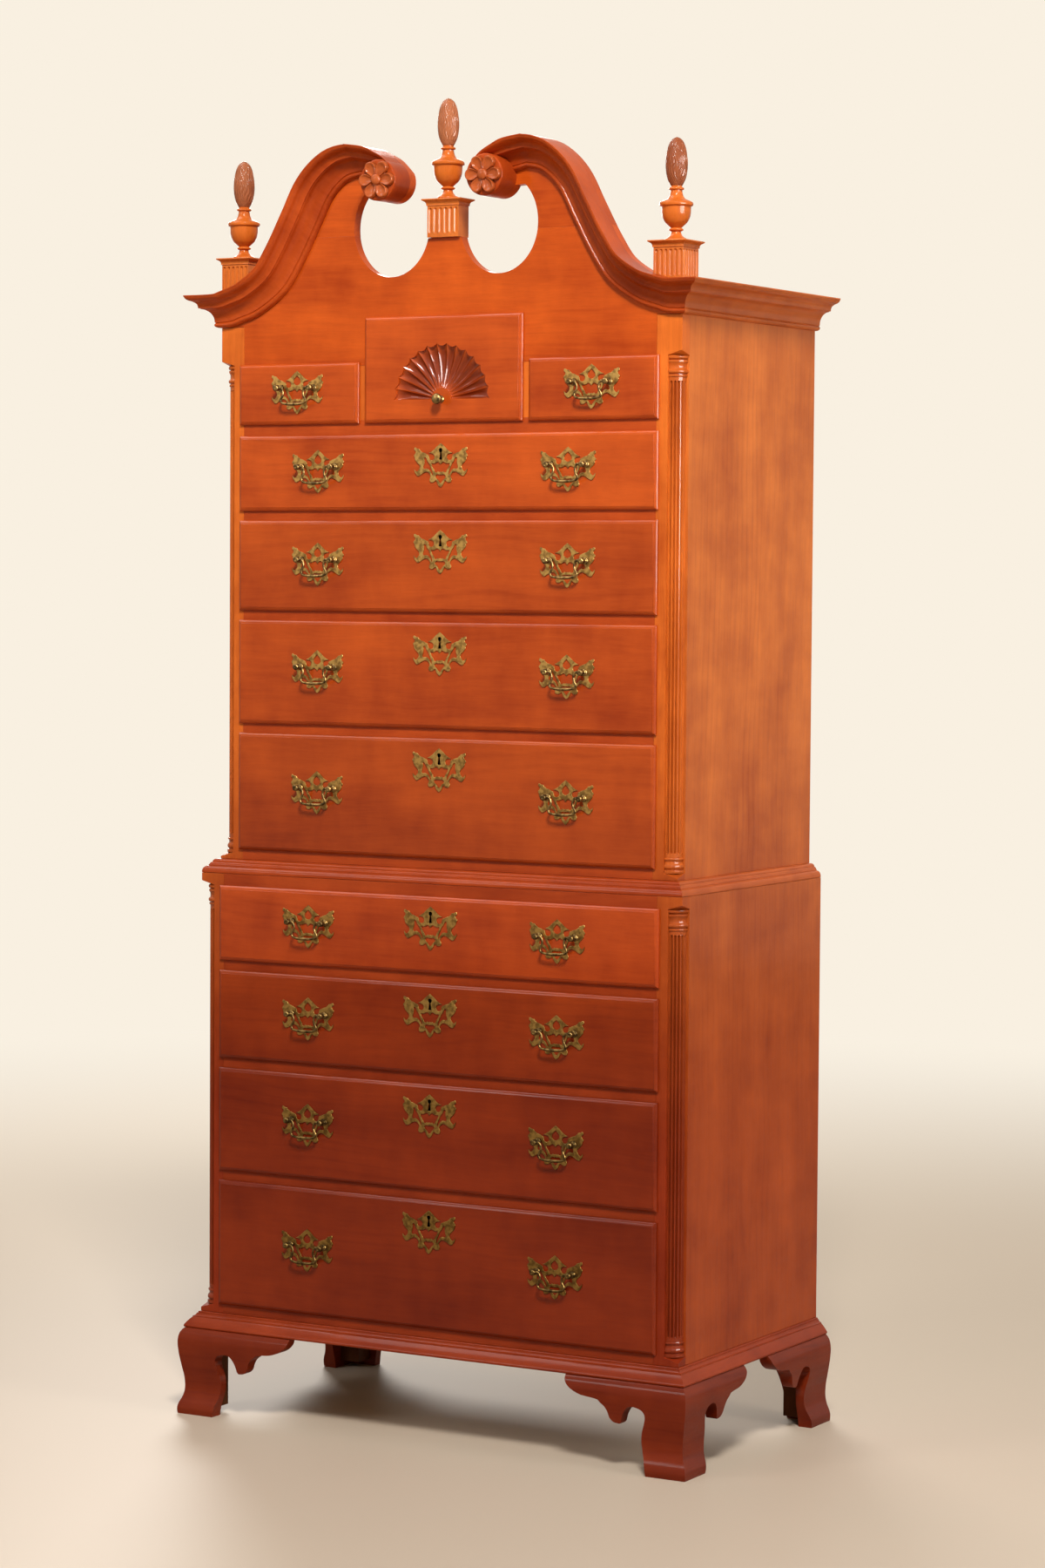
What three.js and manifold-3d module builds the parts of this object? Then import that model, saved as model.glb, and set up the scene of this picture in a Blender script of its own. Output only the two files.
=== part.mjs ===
// Cherry chest-on-chest with a scrolled broken pediment, eleven drawers and ogee bracket feet.
// Millimetres, +Z up. X runs to the right, the fronts face -Y.
// The origin is on the floor at the middle of the whole piece.

import * as THREE from 'three';
import Module from 'manifold-3d';
import { mergeVertices } from 'three/addons/utils/BufferGeometryUtils.js';

const wasm = await Module();
wasm.setup();

// Joinery
const fit = 0.3;
const cutOverrun = 2;
const weldDepth = 0.5;

// Upper case
const upperWidth = 930;
const upperDepth = 509;
const boardThickness = 20;
const backThickness = 12;
const cornerSquare = 27;
const stileWidth = 21;
const frameThickness = 22;
const upperBaseBlockHeight = 11;
const friezeHeight = 67.5;

// Lower case, wider than the upper one at both sides and in front
const sideStep = 23;
const frontStep = 26;
const lowerBaseBlockHeight = 14;
const lowerTopRailShow = 21.3;

// Drawer fronts, lip edge to lip edge
const lowerFront1 = 134;
const lowerFront2 = 158;
const lowerFront3 = 185.5;
const lowerFront4 = 226;
const upperFront1 = 133;
const upperFront2 = 160;
const upperFront3 = 185;
const upperFront4 = 210;
const smallFront = 107;
const fanFront = 184.5;
const fanFrontWidth = 318.5;
const topRowGap = 12.7;
const lowerRailShow = 18;
const lowerBottomRailShow = 16.7;
const upperRailShow = 17;
const upperBottomRailShow = 18;
const topRowRailShow = 19.5;

// Drawer boxes
const lipOverlap = 6;
const lipThickness = 8.5;
const lipBevel = 4.5;
const openingPlay = 1.5;
const drawerFrontThickness = 14;
const drawerSideThickness = 12;
const drawerSideDrop = 10;
const drawerBottomRise = 6;
const drawerBottomThickness = 8;
const drawerBackRoom = 18;

// Runners, guides and the shelf under the top row
const runnerThickness = 18;
const guideHeight = 15;
const frontPostDepth = 33;
const shelfThickness = 19;

// Feet and mouldings
const footHeight = 157;
const footReach = 30.6;
const footWingLength = 238;
const footInnerReach = 4;
const footBlockSize = 40;
const footBlockRise = 12;
const rearBracketThickness = 18;
const baseMouldingHeight = 28.5;
const baseMouldingReach = 22.4;
const waistHeight = 25;
const corniceHeight = 56.5;
const corniceReach = 50;
const topBoardThickness = 18;

// Pediment
const scrollBoardThickness = 20;
const neckRise = 308;
const voluteCentreX = 107;
const voluteCentreRise = 243;
const drumRadius = 36;
const rosetteRadius = 34;
const rosetteDepth = 10;
const ovalCentreX = 108.5;
const ovalCentreRise = 165;
const ovalHalfWidth = 77;
const ovalHalfHeight = 86;

// Plinths and finials
const centrePlinthWidth = 63;
const centrePlinthDepth = 34;
const centrePlinthProud = 7;
const centrePlinthFootRise = 144;
const centrePlinthHeight = 54;
const cornerPlinthSize = 56;
const cornerPlinthHeight = 55;
const plinthCapHeight = 12;
const plinthCapReach = 8;
const plinthFluteWidth = 4.6;
const plinthFluteDepth = 1.8;
const plinthFluteStop = 6;
const plinthFluteCount = 6;
const finialHeight = 173;
const finialRadius = 30;

// Quarter columns
const columnRadius = 22;
const columnCapRadius = 25.5;
const columnBaseHeight = 30;
const columnCapHeight = 38;
const columnFluteDepth = 2.2;
const columnFluteRunIn = 2;
const columnFluteCount = 5;

// Brasses
const plateWidth = 107;
const plateHeight = 75;
const plateThickness = 2;
const pullOffset = 253;
const pullRise = 2.5;
const keyholeDrop = 55;
const postSpacing = 70;
const postRise = 8;
const postLength = 15;
const postRadius = 3;
const postBallRadius = 6.5;
const bailWireRadius = 2.4;
const bailDrop = 29;
const bailTopHalf = 21;
const bailBellyHalf = 27;
const knobRadius = 10;
const knobLength = 22;
const fanRadius = 97;
const fanHubRadius = 20;
const fanRise = 39.5;
const fanRecess = 3;
const fanLobes = 15;
const fanScallopShare = 0.955;

// Levels worked out from the floor upwards
const lowerFloorZ = footHeight + baseMouldingHeight;
const lowerFronts = [lowerFront4, lowerFront3, lowerFront2, lowerFront1];
const upperFronts = [upperFront4, upperFront3, upperFront2, upperFront1];
const lowerStack = stackFronts(lowerFloorZ + lowerBottomRailShow, lowerFronts, lowerRailShow);
const lowerTopZ = lowerStack.top + lowerTopRailShow;
const upperFloorZ = lowerTopZ + waistHeight;
const upperStack = stackFronts(upperFloorZ + upperBottomRailShow, upperFronts, upperRailShow);
const topRowZ = upperStack.top + topRowRailShow;
const friezeZ = topRowZ + smallFront;
const corniceFootZ = friezeZ + friezeHeight;
const corniceTopZ = corniceFootZ + corniceHeight;

// Widths worked out from the cases
const upperHalf = upperWidth / 2;
const lowerHalf = upperHalf + sideStep;
const upperOpeningHalf = upperHalf - cornerSquare - stileWidth;
const lowerOpeningHalf = lowerHalf - cornerSquare - stileWidth;
const fanHalf = fanFrontWidth / 2;
const smallInnerX = fanHalf + topRowGap;
const backFaceY = upperDepth;
const backPanelY = backFaceY - backThickness;
const drawerBackY = backPanelY - drawerBackRoom;

// Finishes
const cherry = finish(0xb5521f, 0.42, 0);
const cherryLight = finish(0xc96a2b, 0.42, 0);
const cherryDark = finish(0x8f3a17, 0.42, 0);
const poplar = finish(0xc9a878, 0.75, 0);
const brass = finish(0x9a7b3c, 0.38, 1);

function finish(color, roughness, metalness) {
  return new THREE.MeshStandardMaterial({ color, roughness, metalness, flatShading: true });
}

// Drawer fronts stacked upwards with an equal rail between them
function stackFronts(floor, heights, show) {
  const spans = [];
  let z = floor;
  for (const height of heights) {
    spans.push([z, z + height]);
    z += height + show;
  }
  return { spans, top: z - show };
}

// Closed mesh with shared corners and no collapsed triangles
function welded(geometry) {
  const plain = geometry.index ? geometry.clone() : geometry;
  plain.deleteAttribute('normal');
  plain.deleteAttribute('uv');
  const merged = mergeVertices(plain);
  const corners = merged.index.array;
  const kept = [];
  for (let i = 0; i < corners.length; i += 3) {
    const [a, b, c] = [corners[i], corners[i + 1], corners[i + 2]];
    if (a !== b && b !== c && c !== a) kept.push(a, b, c);
  }
  merged.setIndex(kept);
  return merged;
}

function solid(geometry) {
  const mesh = welded(geometry);
  return new wasm.Manifold(new wasm.Mesh({
    numProp: 3,
    vertProperties: Float32Array.from(mesh.attributes.position.array),
    triVerts: Uint32Array.from(mesh.index.array),
  }));
}

function geometryOf(manifold) {
  const mesh = manifold.getMesh();
  const geometry = new THREE.BufferGeometry();
  geometry.setAttribute('position', new THREE.BufferAttribute(mesh.vertProperties, 3));
  geometry.setIndex(new THREE.BufferAttribute(mesh.triVerts, 1));
  return geometry;
}

function joined(first, ...others) {
  return others.reduce((sum, other) => sum.add(other), first);
}

function block(x0, x1, y0, y1, z0, z1) {
  const box = new THREE.BoxGeometry(x1 - x0, y1 - y0, z1 - z0);
  return solid(box.translate((x0 + x1) / 2, (y0 + y1) / 2, (z0 + z1) / 2));
}

// Flat outlines pushed out along one axis: [x, z] along Y, [y, z] along X, [x, y] along Z
const pushAxes = {
  x: [new THREE.Vector3(0, 1, 0), new THREE.Vector3(0, 0, 1), new THREE.Vector3(1, 0, 0)],
  y: [new THREE.Vector3(1, 0, 0), new THREE.Vector3(0, 0, 1), new THREE.Vector3(0, -1, 0)],
  z: [new THREE.Vector3(1, 0, 0), new THREE.Vector3(0, 1, 0), new THREE.Vector3(0, 0, 1)],
};

function pushed(points, axis, from, to) {
  const shape = new THREE.Shape(points.map(([u, v]) => new THREE.Vector2(u, v)));
  const geometry = new THREE.ExtrudeGeometry(shape, { depth: to - from, bevelEnabled: false });
  geometry.applyMatrix4(new THREE.Matrix4().makeBasis(...pushAxes[axis]));
  const place = { x: [from, 0, 0], y: [0, to, 0], z: [0, 0, from] }[axis];
  return solid(geometry.translate(...place));
}

// Skin over rings that all have the same number of corners, capped at both ends
function lofted(rings) {
  const count = rings[0].length;
  const positions = rings.flat().flatMap((corner) => corner.toArray());
  const faces = [];
  for (let i = 0; i + 1 < rings.length; i += 1) {
    for (let j = 0; j < count; j += 1) {
      const a = i * count + j;
      const b = i * count + ((j + 1) % count);
      faces.push(a, b, b + count, a, b + count, a + count);
    }
  }
  const ends = [[rings[0], 0, true], [rings.at(-1), (rings.length - 1) * count, false]];
  for (const [ring, first, flip] of ends) {
    for (const [a, b, c] of capTriangles(ring)) {
      faces.push(first + a, first + (flip ? c : b), first + (flip ? b : c));
    }
  }
  const geometry = new THREE.BufferGeometry();
  geometry.setAttribute('position', new THREE.Float32BufferAttribute(positions, 3));
  geometry.setIndex(signedVolume(positions, faces) > 0 ? faces : faces.reverse());
  return solid(geometry);
}

// Triangles of one end ring, seen along the ring's own normal
function capTriangles(ring) {
  const normal = new THREE.Vector3();
  ring.forEach((corner, i) => {
    normal.add(new THREE.Vector3().crossVectors(corner, ring[(i + 1) % ring.length]));
  });
  const turn = new THREE.Quaternion().setFromUnitVectors(normal.normalize(), new THREE.Vector3(0, 0, 1));
  const flat = ring.map((corner) => {
    const turned = corner.clone().applyQuaternion(turn);
    return new THREE.Vector2(turned.x, turned.y);
  });
  return THREE.ShapeUtils.triangulateShape(flat, []);
}

function signedVolume(positions, faces) {
  const corner = (i) => new THREE.Vector3().fromArray(positions, faces[i] * 3);
  let total = 0;
  for (let i = 0; i < faces.length; i += 3) {
    total += corner(i).dot(new THREE.Vector3().crossVectors(corner(i + 1), corner(i + 2)));
  }
  return total;
}

function mirrored(manifold) {
  return manifold.mirror([1, 0, 0]);
}

// Turned shape around a vertical axis: profile of [radius, height]
function turned(profile, sides) {
  const points = profile.map(([radius, height]) => new THREE.Vector2(radius, height));
  return new THREE.LatheGeometry(points, sides).rotateX(Math.PI / 2);
}

// Turned shape that points out of a drawer front, towards -Y
function turnedForward(profile, sides, x, y, z) {
  const points = profile.map(([radius, reach]) => new THREE.Vector2(radius, reach));
  return solid(new THREE.LatheGeometry(points, sides).rotateZ(Math.PI).translate(x, y, z));
}

// A board whose front and side edges carry one moulding, with [reach, height] steps
function mouldedBoard(half, front, floor, steps) {
  return lofted(steps.map(([reach, height]) => [
    new THREE.Vector3(-half - reach, front - reach, floor + height),
    new THREE.Vector3(half + reach, front - reach, floor + height),
    new THREE.Vector3(half + reach, backFaceY, floor + height),
    new THREE.Vector3(-half - reach, backFaceY, floor + height),
  ]));
}

const baseReachShares = [[1, 0], [1, 0.2], [0.85, 0.42], [0.62, 0.6], [0.4, 0.72], [0.24, 0.84], [0.14, 1]];

function makeBaseMoulding() {
  const height = baseMouldingHeight - fit;
  const steps = baseReachShares.map(([reach, rise]) => [reach * baseMouldingReach, rise * height]);
  return mouldedBoard(lowerHalf, -frontStep, footHeight, steps);
}

const waistReachShares = [
  [1, 0], [0.97, 0.22], [0.86, 0.42], [0.62, 0.52], [0.58, 0.66], [0.34, 0.84], [0.2, 1],
];

function makeWaistMoulding() {
  return lofted(waistReachShares.map(([reach, rise]) => {
    const half = upperHalf + reach * sideStep;
    const front = -reach * frontStep;
    const z = lowerTopZ + rise * (waistHeight - fit);
    return [
      new THREE.Vector3(-half, front, z),
      new THREE.Vector3(half, front, z),
      new THREE.Vector3(half, backFaceY, z),
      new THREE.Vector3(-half, backFaceY, z),
    ];
  }));
}

// Side board with its front post, drawer runners and guides, for the right hand
function makeSide({ half, front, floor, top, openingHalf, runnerLevels, guideLevels }) {
  const inner = half - boardThickness;
  const notchY = front + cornerSquare;
  const backOfRunner = backPanelY - fit;
  const runnerInner = openingHalf - openingPlay - drawerSideThickness;
  let side = joined(
    block(inner, half, notchY, backFaceY, floor, top),
    block(half - cornerSquare, half, notchY, notchY + frontPostDepth, floor, top),
  );
  for (const z of runnerLevels) {
    const runner = [
      [runnerInner, z - runnerThickness],
      [inner + weldDepth, z - runnerThickness],
      [inner + weldDepth, z + guideHeight],
      [openingHalf, z + guideHeight],
      [openingHalf, z],
      [runnerInner, z],
    ];
    side = side.add(pushed(runner, 'y', notchY, backOfRunner));
  }
  for (const z of guideLevels) {
    side = side.add(block(openingHalf, inner + weldDepth, notchY, backOfRunner, z + fit, z + guideHeight));
  }
  return side;
}

// Stiles, rails and the four square corner blocks that stop the quarter columns
function makeFrame({ half, front, floor, top, openings, baseBlock, topBlockZ }) {
  const stileOuter = half - cornerSquare;
  let frame = block(-stileOuter, stileOuter, front, front + frameThickness, floor, top);
  for (const [x0, x1, z0, z1] of openings) {
    frame = frame.subtract(block(x0, x1, front - cutOverrun, front + frameThickness + cutOverrun, z0, z1));
  }
  for (const side of [-1, 1]) {
    const [x0, x1] = [side * (stileOuter - weldDepth), side * half].sort((a, b) => a - b);
    frame = joined(
      frame,
      block(x0, x1, front, front + cornerSquare - fit, floor, floor + baseBlock),
      block(x0, x1, front, front + cornerSquare - fit, topBlockZ, top),
    );
  }
  return frame;
}

function openingOf([z0, z1]) {
  return [z0 + lipOverlap, z1 - lipOverlap];
}

function makeUpperFrame() {
  const wide = upperStack.spans.map((span) => [-upperOpeningHalf, upperOpeningHalf, ...openingOf(span)]);
  const rowFloor = topRowZ + lipOverlap;
  const rowTop = friezeZ - lipOverlap;
  const fanEdge = fanHalf - lipOverlap;
  const smallEdge = smallInnerX + lipOverlap;
  const openings = [
    ...wide,
    [-upperOpeningHalf, -smallEdge, rowFloor, rowTop],
    [-fanEdge, fanEdge, rowFloor, rowTop],
    [smallEdge, upperOpeningHalf, rowFloor, rowTop],
    [-upperOpeningHalf, upperOpeningHalf, rowTop - weldDepth, corniceFootZ + cutOverrun],
  ];
  const frame = makeFrame({
    half: upperHalf,
    front: 0,
    floor: upperFloorZ,
    top: corniceFootZ - fit,
    openings,
    baseBlock: upperBaseBlockHeight,
    topBlockZ: friezeZ,
  });
  const shelfHalf = upperHalf - boardThickness - fit;
  const shelfFront = frameThickness - weldDepth;
  const postBack = cornerSquare + frontPostDepth + fit;
  const shelfZ = rowFloor - shelfThickness;
  const postHalf = upperHalf - cornerSquare - fit;
  let shelf = joined(
    block(-postHalf, postHalf, shelfFront, postBack + weldDepth, shelfZ, rowFloor),
    block(-shelfHalf, shelfHalf, postBack, drawerBackY, shelfZ, rowFloor),
  );
  for (const side of [-1, 1]) {
    const [x0, x1] = [side * fanEdge, side * smallEdge].sort((a, b) => a - b);
    shelf = shelf.add(block(x0, x1, shelfFront, drawerBackY, rowFloor - weldDepth, rowFloor + guideHeight));
  }
  return frame.add(shelf);
}

function makeLowerFrame() {
  return makeFrame({
    half: lowerHalf,
    front: -frontStep,
    floor: lowerFloorZ,
    top: lowerTopZ - fit,
    openings: lowerStack.spans.map((span) => [-lowerOpeningHalf, lowerOpeningHalf, ...openingOf(span)]),
    baseBlock: lowerBaseBlockHeight,
    topBlockZ: lowerStack.top,
  });
}

function makeUpperSide() {
  return makeSide({
    half: upperHalf,
    front: 0,
    floor: upperFloorZ,
    top: corniceTopZ - topBoardThickness - fit,
    openingHalf: upperOpeningHalf,
    runnerLevels: upperStack.spans.slice(1).map(([z]) => z + lipOverlap),
    guideLevels: [upperStack.spans[0][0] + lipOverlap, topRowZ + lipOverlap],
  });
}

function makeLowerSide() {
  return makeSide({
    half: lowerHalf,
    front: -frontStep,
    floor: lowerFloorZ,
    top: lowerTopZ - fit,
    openingHalf: lowerOpeningHalf,
    runnerLevels: lowerStack.spans.map(([z]) => z + lipOverlap),
    guideLevels: [],
  });
}

function makeUpperBottom() {
  const half = upperHalf - boardThickness - fit;
  const postHalf = upperHalf - cornerSquare - weldDepth - fit;
  const postBack = cornerSquare + frontPostDepth + fit;
  const top = upperFloorZ + upperBottomRailShow + lipOverlap;
  return joined(
    block(-postHalf, postHalf, frameThickness + fit, postBack + weldDepth, upperFloorZ, top),
    block(-half, half, postBack, backPanelY - fit, upperFloorZ, top),
  );
}

function makeBack(half, floor, top) {
  const inner = half - boardThickness - fit;
  return block(-inner, inner, backPanelY, backFaceY, floor, top);
}

// Cornice section: [share of the reach, share of the height]
const corniceShares = [
  [0, 0], [0.08, 0], [0.18, 0.06], [0.22, 0.17], [0.28, 0.38], [0.52, 0.58],
  [0.6, 0.59], [0.62, 0.68], [0.72, 0.83], [0.98, 0.95], [1, 1], [0, 1],
];

// Wedge that cuts a moulding at 45 degrees where the front meets the right side
function mitreWedge(towardsFront) {
  const far = corniceReach + 5 * cutOverrun;
  const gap = towardsFront ? fit / 2 : -fit / 2;
  const corner = [upperHalf - cutOverrun + gap, cutOverrun];
  const tip = [upperHalf + far + gap, -far];
  const aside = towardsFront ? [upperHalf - cutOverrun + gap, -far] : [upperHalf + far + gap, cutOverrun];
  const z0 = corniceFootZ - cutOverrun;
  return pushed([corner, tip, aside], 'z', z0, corniceTopZ + cutOverrun);
}

// Top board with the two side cornices on its ends
function makeTop() {
  const boardZ = corniceTopZ - topBoardThickness;
  const face = upperHalf + fit;
  const section = corniceShares.map(([reach, rise]) => [
    face + reach * (corniceReach - fit), corniceFootZ + rise * corniceHeight,
  ]);
  const cornice = pushed(section, 'y', -corniceReach, backFaceY).subtract(mitreWedge(true));
  return joined(
    block(-face - weldDepth, face + weldDepth, scrollBoardThickness + fit, backFaceY, boardZ, corniceTopZ),
    cornice,
    mirrored(cornice),
  );
}

// Lower edge of the swan neck from the corner to the volute, with the width of the moulding there:
// [share of the half width, share of the rise, share of the cornice height]
const neckShares = [
  [0.968, 0.002, 1], [0.9, 0.026, 1], [0.81, 0.075, 1], [0.7, 0.19, 1], [0.624, 0.35, 1],
  [0.55, 0.55, 1], [0.492, 0.71, 1], [0.424, 0.806, 0.97], [0.355, 0.832, 0.93],
];
// Last stations of the moulding, round the volute: [inner x, inner rise, outer x, outer rise]
// as shares of the drum radius, from the volute centre
const voluteShares = [
  [0.92, 0.2, 0.92, 1.66], [0.42, 0.25, 0.3, 1.39], [0.08, 0.36, -0.25, 1.08], [-0.25, 0.25, -0.69, 0.66],
];
const neckSteps = 18;

function neckStations() {
  const corner = new THREE.Vector3(upperHalf + corniceReach + 2 * cutOverrun, 0, 0);
  const places = neckShares.map(([across, rise]) => (
    new THREE.Vector3(across * upperHalf, 0, rise * neckRise)
  ));
  const widthShares = [neckShares[0][2], ...neckShares.map(([, , width]) => width)];
  const spine = new THREE.CatmullRomCurve3([corner, ...places], false, 'centripetal');
  const stations = [];
  for (let i = 0; i <= neckSteps; i += 1) {
    const t = i / neckSteps;
    const inner = spine.getPoint(t);
    const tangent = spine.getTangent(t);
    const at = t * (widthShares.length - 1);
    const below = Math.min(Math.floor(at), widthShares.length - 2);
    const width = THREE.MathUtils.lerp(widthShares[below], widthShares[below + 1], at - below);
    const outward = new THREE.Vector3(tangent.z, 0, -tangent.x).multiplyScalar(width * corniceHeight);
    stations.push([inner, inner.clone().add(outward)]);
  }
  for (const [innerX, innerRise, outerX, outerRise] of voluteShares) {
    stations.push([voluteShare(innerX, innerRise), voluteShare(outerX, outerRise)]);
  }
  return stations;
}

function voluteShare(across, rise) {
  return new THREE.Vector3(voluteCentreX + across * drumRadius, 0, voluteCentreRise + rise * drumRadius);
}

function makeSwanNeck() {
  const rings = neckStations().map(([inner, outer]) => corniceShares.map(([reach, rise]) => {
    const root = new THREE.Vector3(0, -fit - reach * (corniceReach - fit), corniceFootZ);
    return root.add(inner.clone().lerp(outer, rise));
  }));
  const drum = new THREE.CylinderGeometry(drumRadius, drumRadius, corniceReach - fit, 20);
  drum.translate(voluteCentreX, -(corniceReach + fit) / 2, corniceFootZ + voluteCentreRise);
  return lofted(rings).subtract(mitreWedge(false)).add(solid(drum));
}

// Outline of the right half of the scroll board, from the frieze to the neck under the centre plinth
function scrollOutline() {
  const fanEdge = fanHalf - lipOverlap;
  const frieze = friezeZ - lipOverlap + fit;
  const shoulder = corniceTopZ - fit;
  const plinthEdge = upperHalf - cornerPlinthSize - fit;
  const side = upperOpeningHalf - fit;
  const points = [
    [fanEdge, topRowZ + fanFront - lipOverlap],
    [fanEdge, frieze],
    [side, frieze],
    [side, corniceFootZ + fit],
    [upperHalf, corniceFootZ + fit],
    [upperHalf, shoulder],
    [plinthEdge, shoulder],
  ];
  for (const [, outer] of neckStations()) {
    if (outer.x < plinthEdge) points.push([outer.x, corniceFootZ + outer.z]);
  }
  const drumSteps = 9;
  const drumStart = THREE.MathUtils.degToRad(155);
  const drumSweep = THREE.MathUtils.degToRad(180);
  for (let i = 0; i <= drumSteps; i += 1) {
    const angle = drumStart + (drumSweep * i) / drumSteps;
    points.push([
      voluteCentreX + drumRadius * Math.cos(angle),
      corniceFootZ + voluteCentreRise + drumRadius * Math.sin(angle),
    ]);
  }
  const ovalSteps = 16;
  const ovalStart = THREE.MathUtils.degToRad(48);
  const ovalEnd = -Math.PI + Math.asin((ovalCentreRise - centrePlinthFootRise) / ovalHalfHeight);
  for (let i = 0; i <= ovalSteps; i += 1) {
    const angle = THREE.MathUtils.lerp(ovalStart, ovalEnd, i / ovalSteps);
    points.push([
      ovalCentreX + ovalHalfWidth * Math.cos(angle),
      corniceFootZ + ovalCentreRise + ovalHalfHeight * Math.sin(angle),
    ]);
  }
  return points;
}

function makeScrollBoard() {
  const right = scrollOutline();
  const left = right.map(([x, z]) => [-x, z]).reverse();
  return pushed([...right, ...left], 'y', 0, scrollBoardThickness);
}

// Eight-petalled rosette that faces forward on the volute drum
const rosettePetals = 8;
const petalSteps = 4;
const rosetteShares = [[1, 0, 0.08], [0.97, 0.55, 0.1], [0.72, 0.8, 0.06], [0.3, 0.45, 0], [0.2, 1, 0]];

function makeRosette() {
  const steps = rosettePetals * petalSteps;
  const rings = rosetteShares.map(([radius, depth, notch]) => {
    const ring = [];
    for (let i = 0; i < steps; i += 1) {
      const angle = (i / steps) * 2 * Math.PI;
      const cut = i % petalSteps === 0 ? 1 - notch : 1;
      const reach = radius * cut * rosetteRadius;
      ring.push(new THREE.Vector3(
        voluteCentreX + reach * Math.cos(angle),
        -corniceReach - fit - depth * rosetteDepth,
        corniceFootZ + voluteCentreRise + reach * Math.sin(angle),
      ));
    }
    return ring;
  });
  return lofted(rings);
}

// Square plinth with flutes in its front, and in its outer side at a corner
const capShares = [[0, 0], [0.2, 0.12], [0.3, 0.4], [0.8, 0.66], [1, 0.76], [1, 1], [0.75, 1]];

function makePlinth({ x, width, y, depth, floor, height, sideFlutes }) {
  const [x0, x1] = [x - width / 2, x + width / 2];
  let plinth = block(x0, x1, y, y + depth, floor, floor + height + weldDepth);
  plinth = plinth.add(lofted(capShares.map(([reach, rise]) => {
    const out = reach * plinthCapReach;
    const z = floor + height + rise * plinthCapHeight;
    return [
      new THREE.Vector3(x0 - out, y - out, z),
      new THREE.Vector3(x1 + out, y - out, z),
      new THREE.Vector3(x1 + out, y + depth + out, z),
      new THREE.Vector3(x0 - out, y + depth + out, z),
    ];
  })));
  const [z0, z1] = [floor + plinthFluteStop, floor + height - plinthFluteStop / 2];
  for (let i = 0; i < plinthFluteCount; i += 1) {
    const share = (i + 0.5) / plinthFluteCount;
    const frontX = THREE.MathUtils.lerp(x0, x1, share) - plinthFluteWidth / 2;
    plinth = plinth.subtract(block(
      frontX, frontX + plinthFluteWidth, y - cutOverrun, y + plinthFluteDepth, z0, z1,
    ));
    if (sideFlutes) {
      const sideY = THREE.MathUtils.lerp(y, y + depth, share) - plinthFluteWidth / 2;
      plinth = plinth.subtract(block(
        x1 - plinthFluteDepth, x1 + cutOverrun, sideY, sideY + plinthFluteWidth, z0, z1,
      ));
    }
  }
  return plinth;
}

// Urn and flame finial: [share of the radius, share of the height]
const finialShares = [
  [0, 0], [0.66, 0], [0.6, 0.025], [0.27, 0.075], [0.4, 0.1], [0.4, 0.115], [0.3, 0.125],
  [0.7, 0.2], [0.85, 0.31], [1, 0.36], [0.95, 0.385], [0.36, 0.435], [0.33, 0.49], [0.45, 0.505],
  [0.33, 0.53], [0.6, 0.61], [0.66, 0.76], [0.5, 0.92], [0.2, 0.985], [0, 1],
];
const finialSides = 10;

function makeFinial(x, y, floor) {
  const profile = finialShares.map(([radius, rise]) => [radius * finialRadius, rise * finialHeight]);
  return turned(profile, finialSides).translate(x, y, floor);
}

// Fluted quarter column in the notch of the right front corner
const columnBaseShares = [[0, 1], [0.3, 1], [0.36, 0.88], [0.6, 0.96], [0.8, 0.86], [1, 0.86]];

function columnRing(half, front, radius, z, flute) {
  const corner = new THREE.Vector2(half - cornerSquare + fit, front + cornerSquare - fit);
  const ring = [new THREE.Vector3(corner.x, corner.y, z)];
  const at = (angle, reach) => ring.push(new THREE.Vector3(
    corner.x + reach * Math.cos(angle), corner.y + reach * Math.sin(angle), z,
  ));
  const margin = THREE.MathUtils.degToRad(5);
  const land = THREE.MathUtils.degToRad(4);
  const pitch = (Math.PI / 2 - 2 * margin + land) / columnFluteCount;
  at(-Math.PI / 2, radius);
  for (let i = 0; i < columnFluteCount; i += 1) {
    const start = -Math.PI / 2 + margin + i * pitch;
    at(start, radius);
    at(start + (pitch - land) / 2, radius - flute);
    at(start + pitch - land, radius);
  }
  at(0, radius);
  return ring;
}

function makeColumn(half, front, floor, top) {
  const reach = columnCapRadius - fit;
  const base = columnBaseShares.map(([rise, radius]) => [
    floor + rise * columnBaseHeight, radius * reach, 0,
  ]);
  const cap = columnBaseShares.map(([rise, radius]) => [
    top - rise * columnCapHeight, radius * reach, 0,
  ]).reverse();
  const shaft = columnRadius - fit;
  const bottomZ = floor + columnBaseHeight + columnFluteRunIn;
  const topZ = top - columnCapHeight - columnFluteRunIn;
  const levels = [...base, [bottomZ, shaft, columnFluteDepth], [topZ, shaft, columnFluteDepth], ...cap];
  return lofted(levels.map(([z, radius, flute]) => columnRing(half, front, radius, z, flute)));
}

// Ogee of the feet: [share of the reach, share of the height]
const ogeeShares = [
  [0.72, 1], [0.9, 0.93], [0.98, 0.84], [0.95, 0.74], [0.82, 0.55], [0.68, 0.4], [0.66, 0.28],
  [0.8, 0.165], [1, 0.1], [1, 0.03], [0.96, 0],
];
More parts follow.
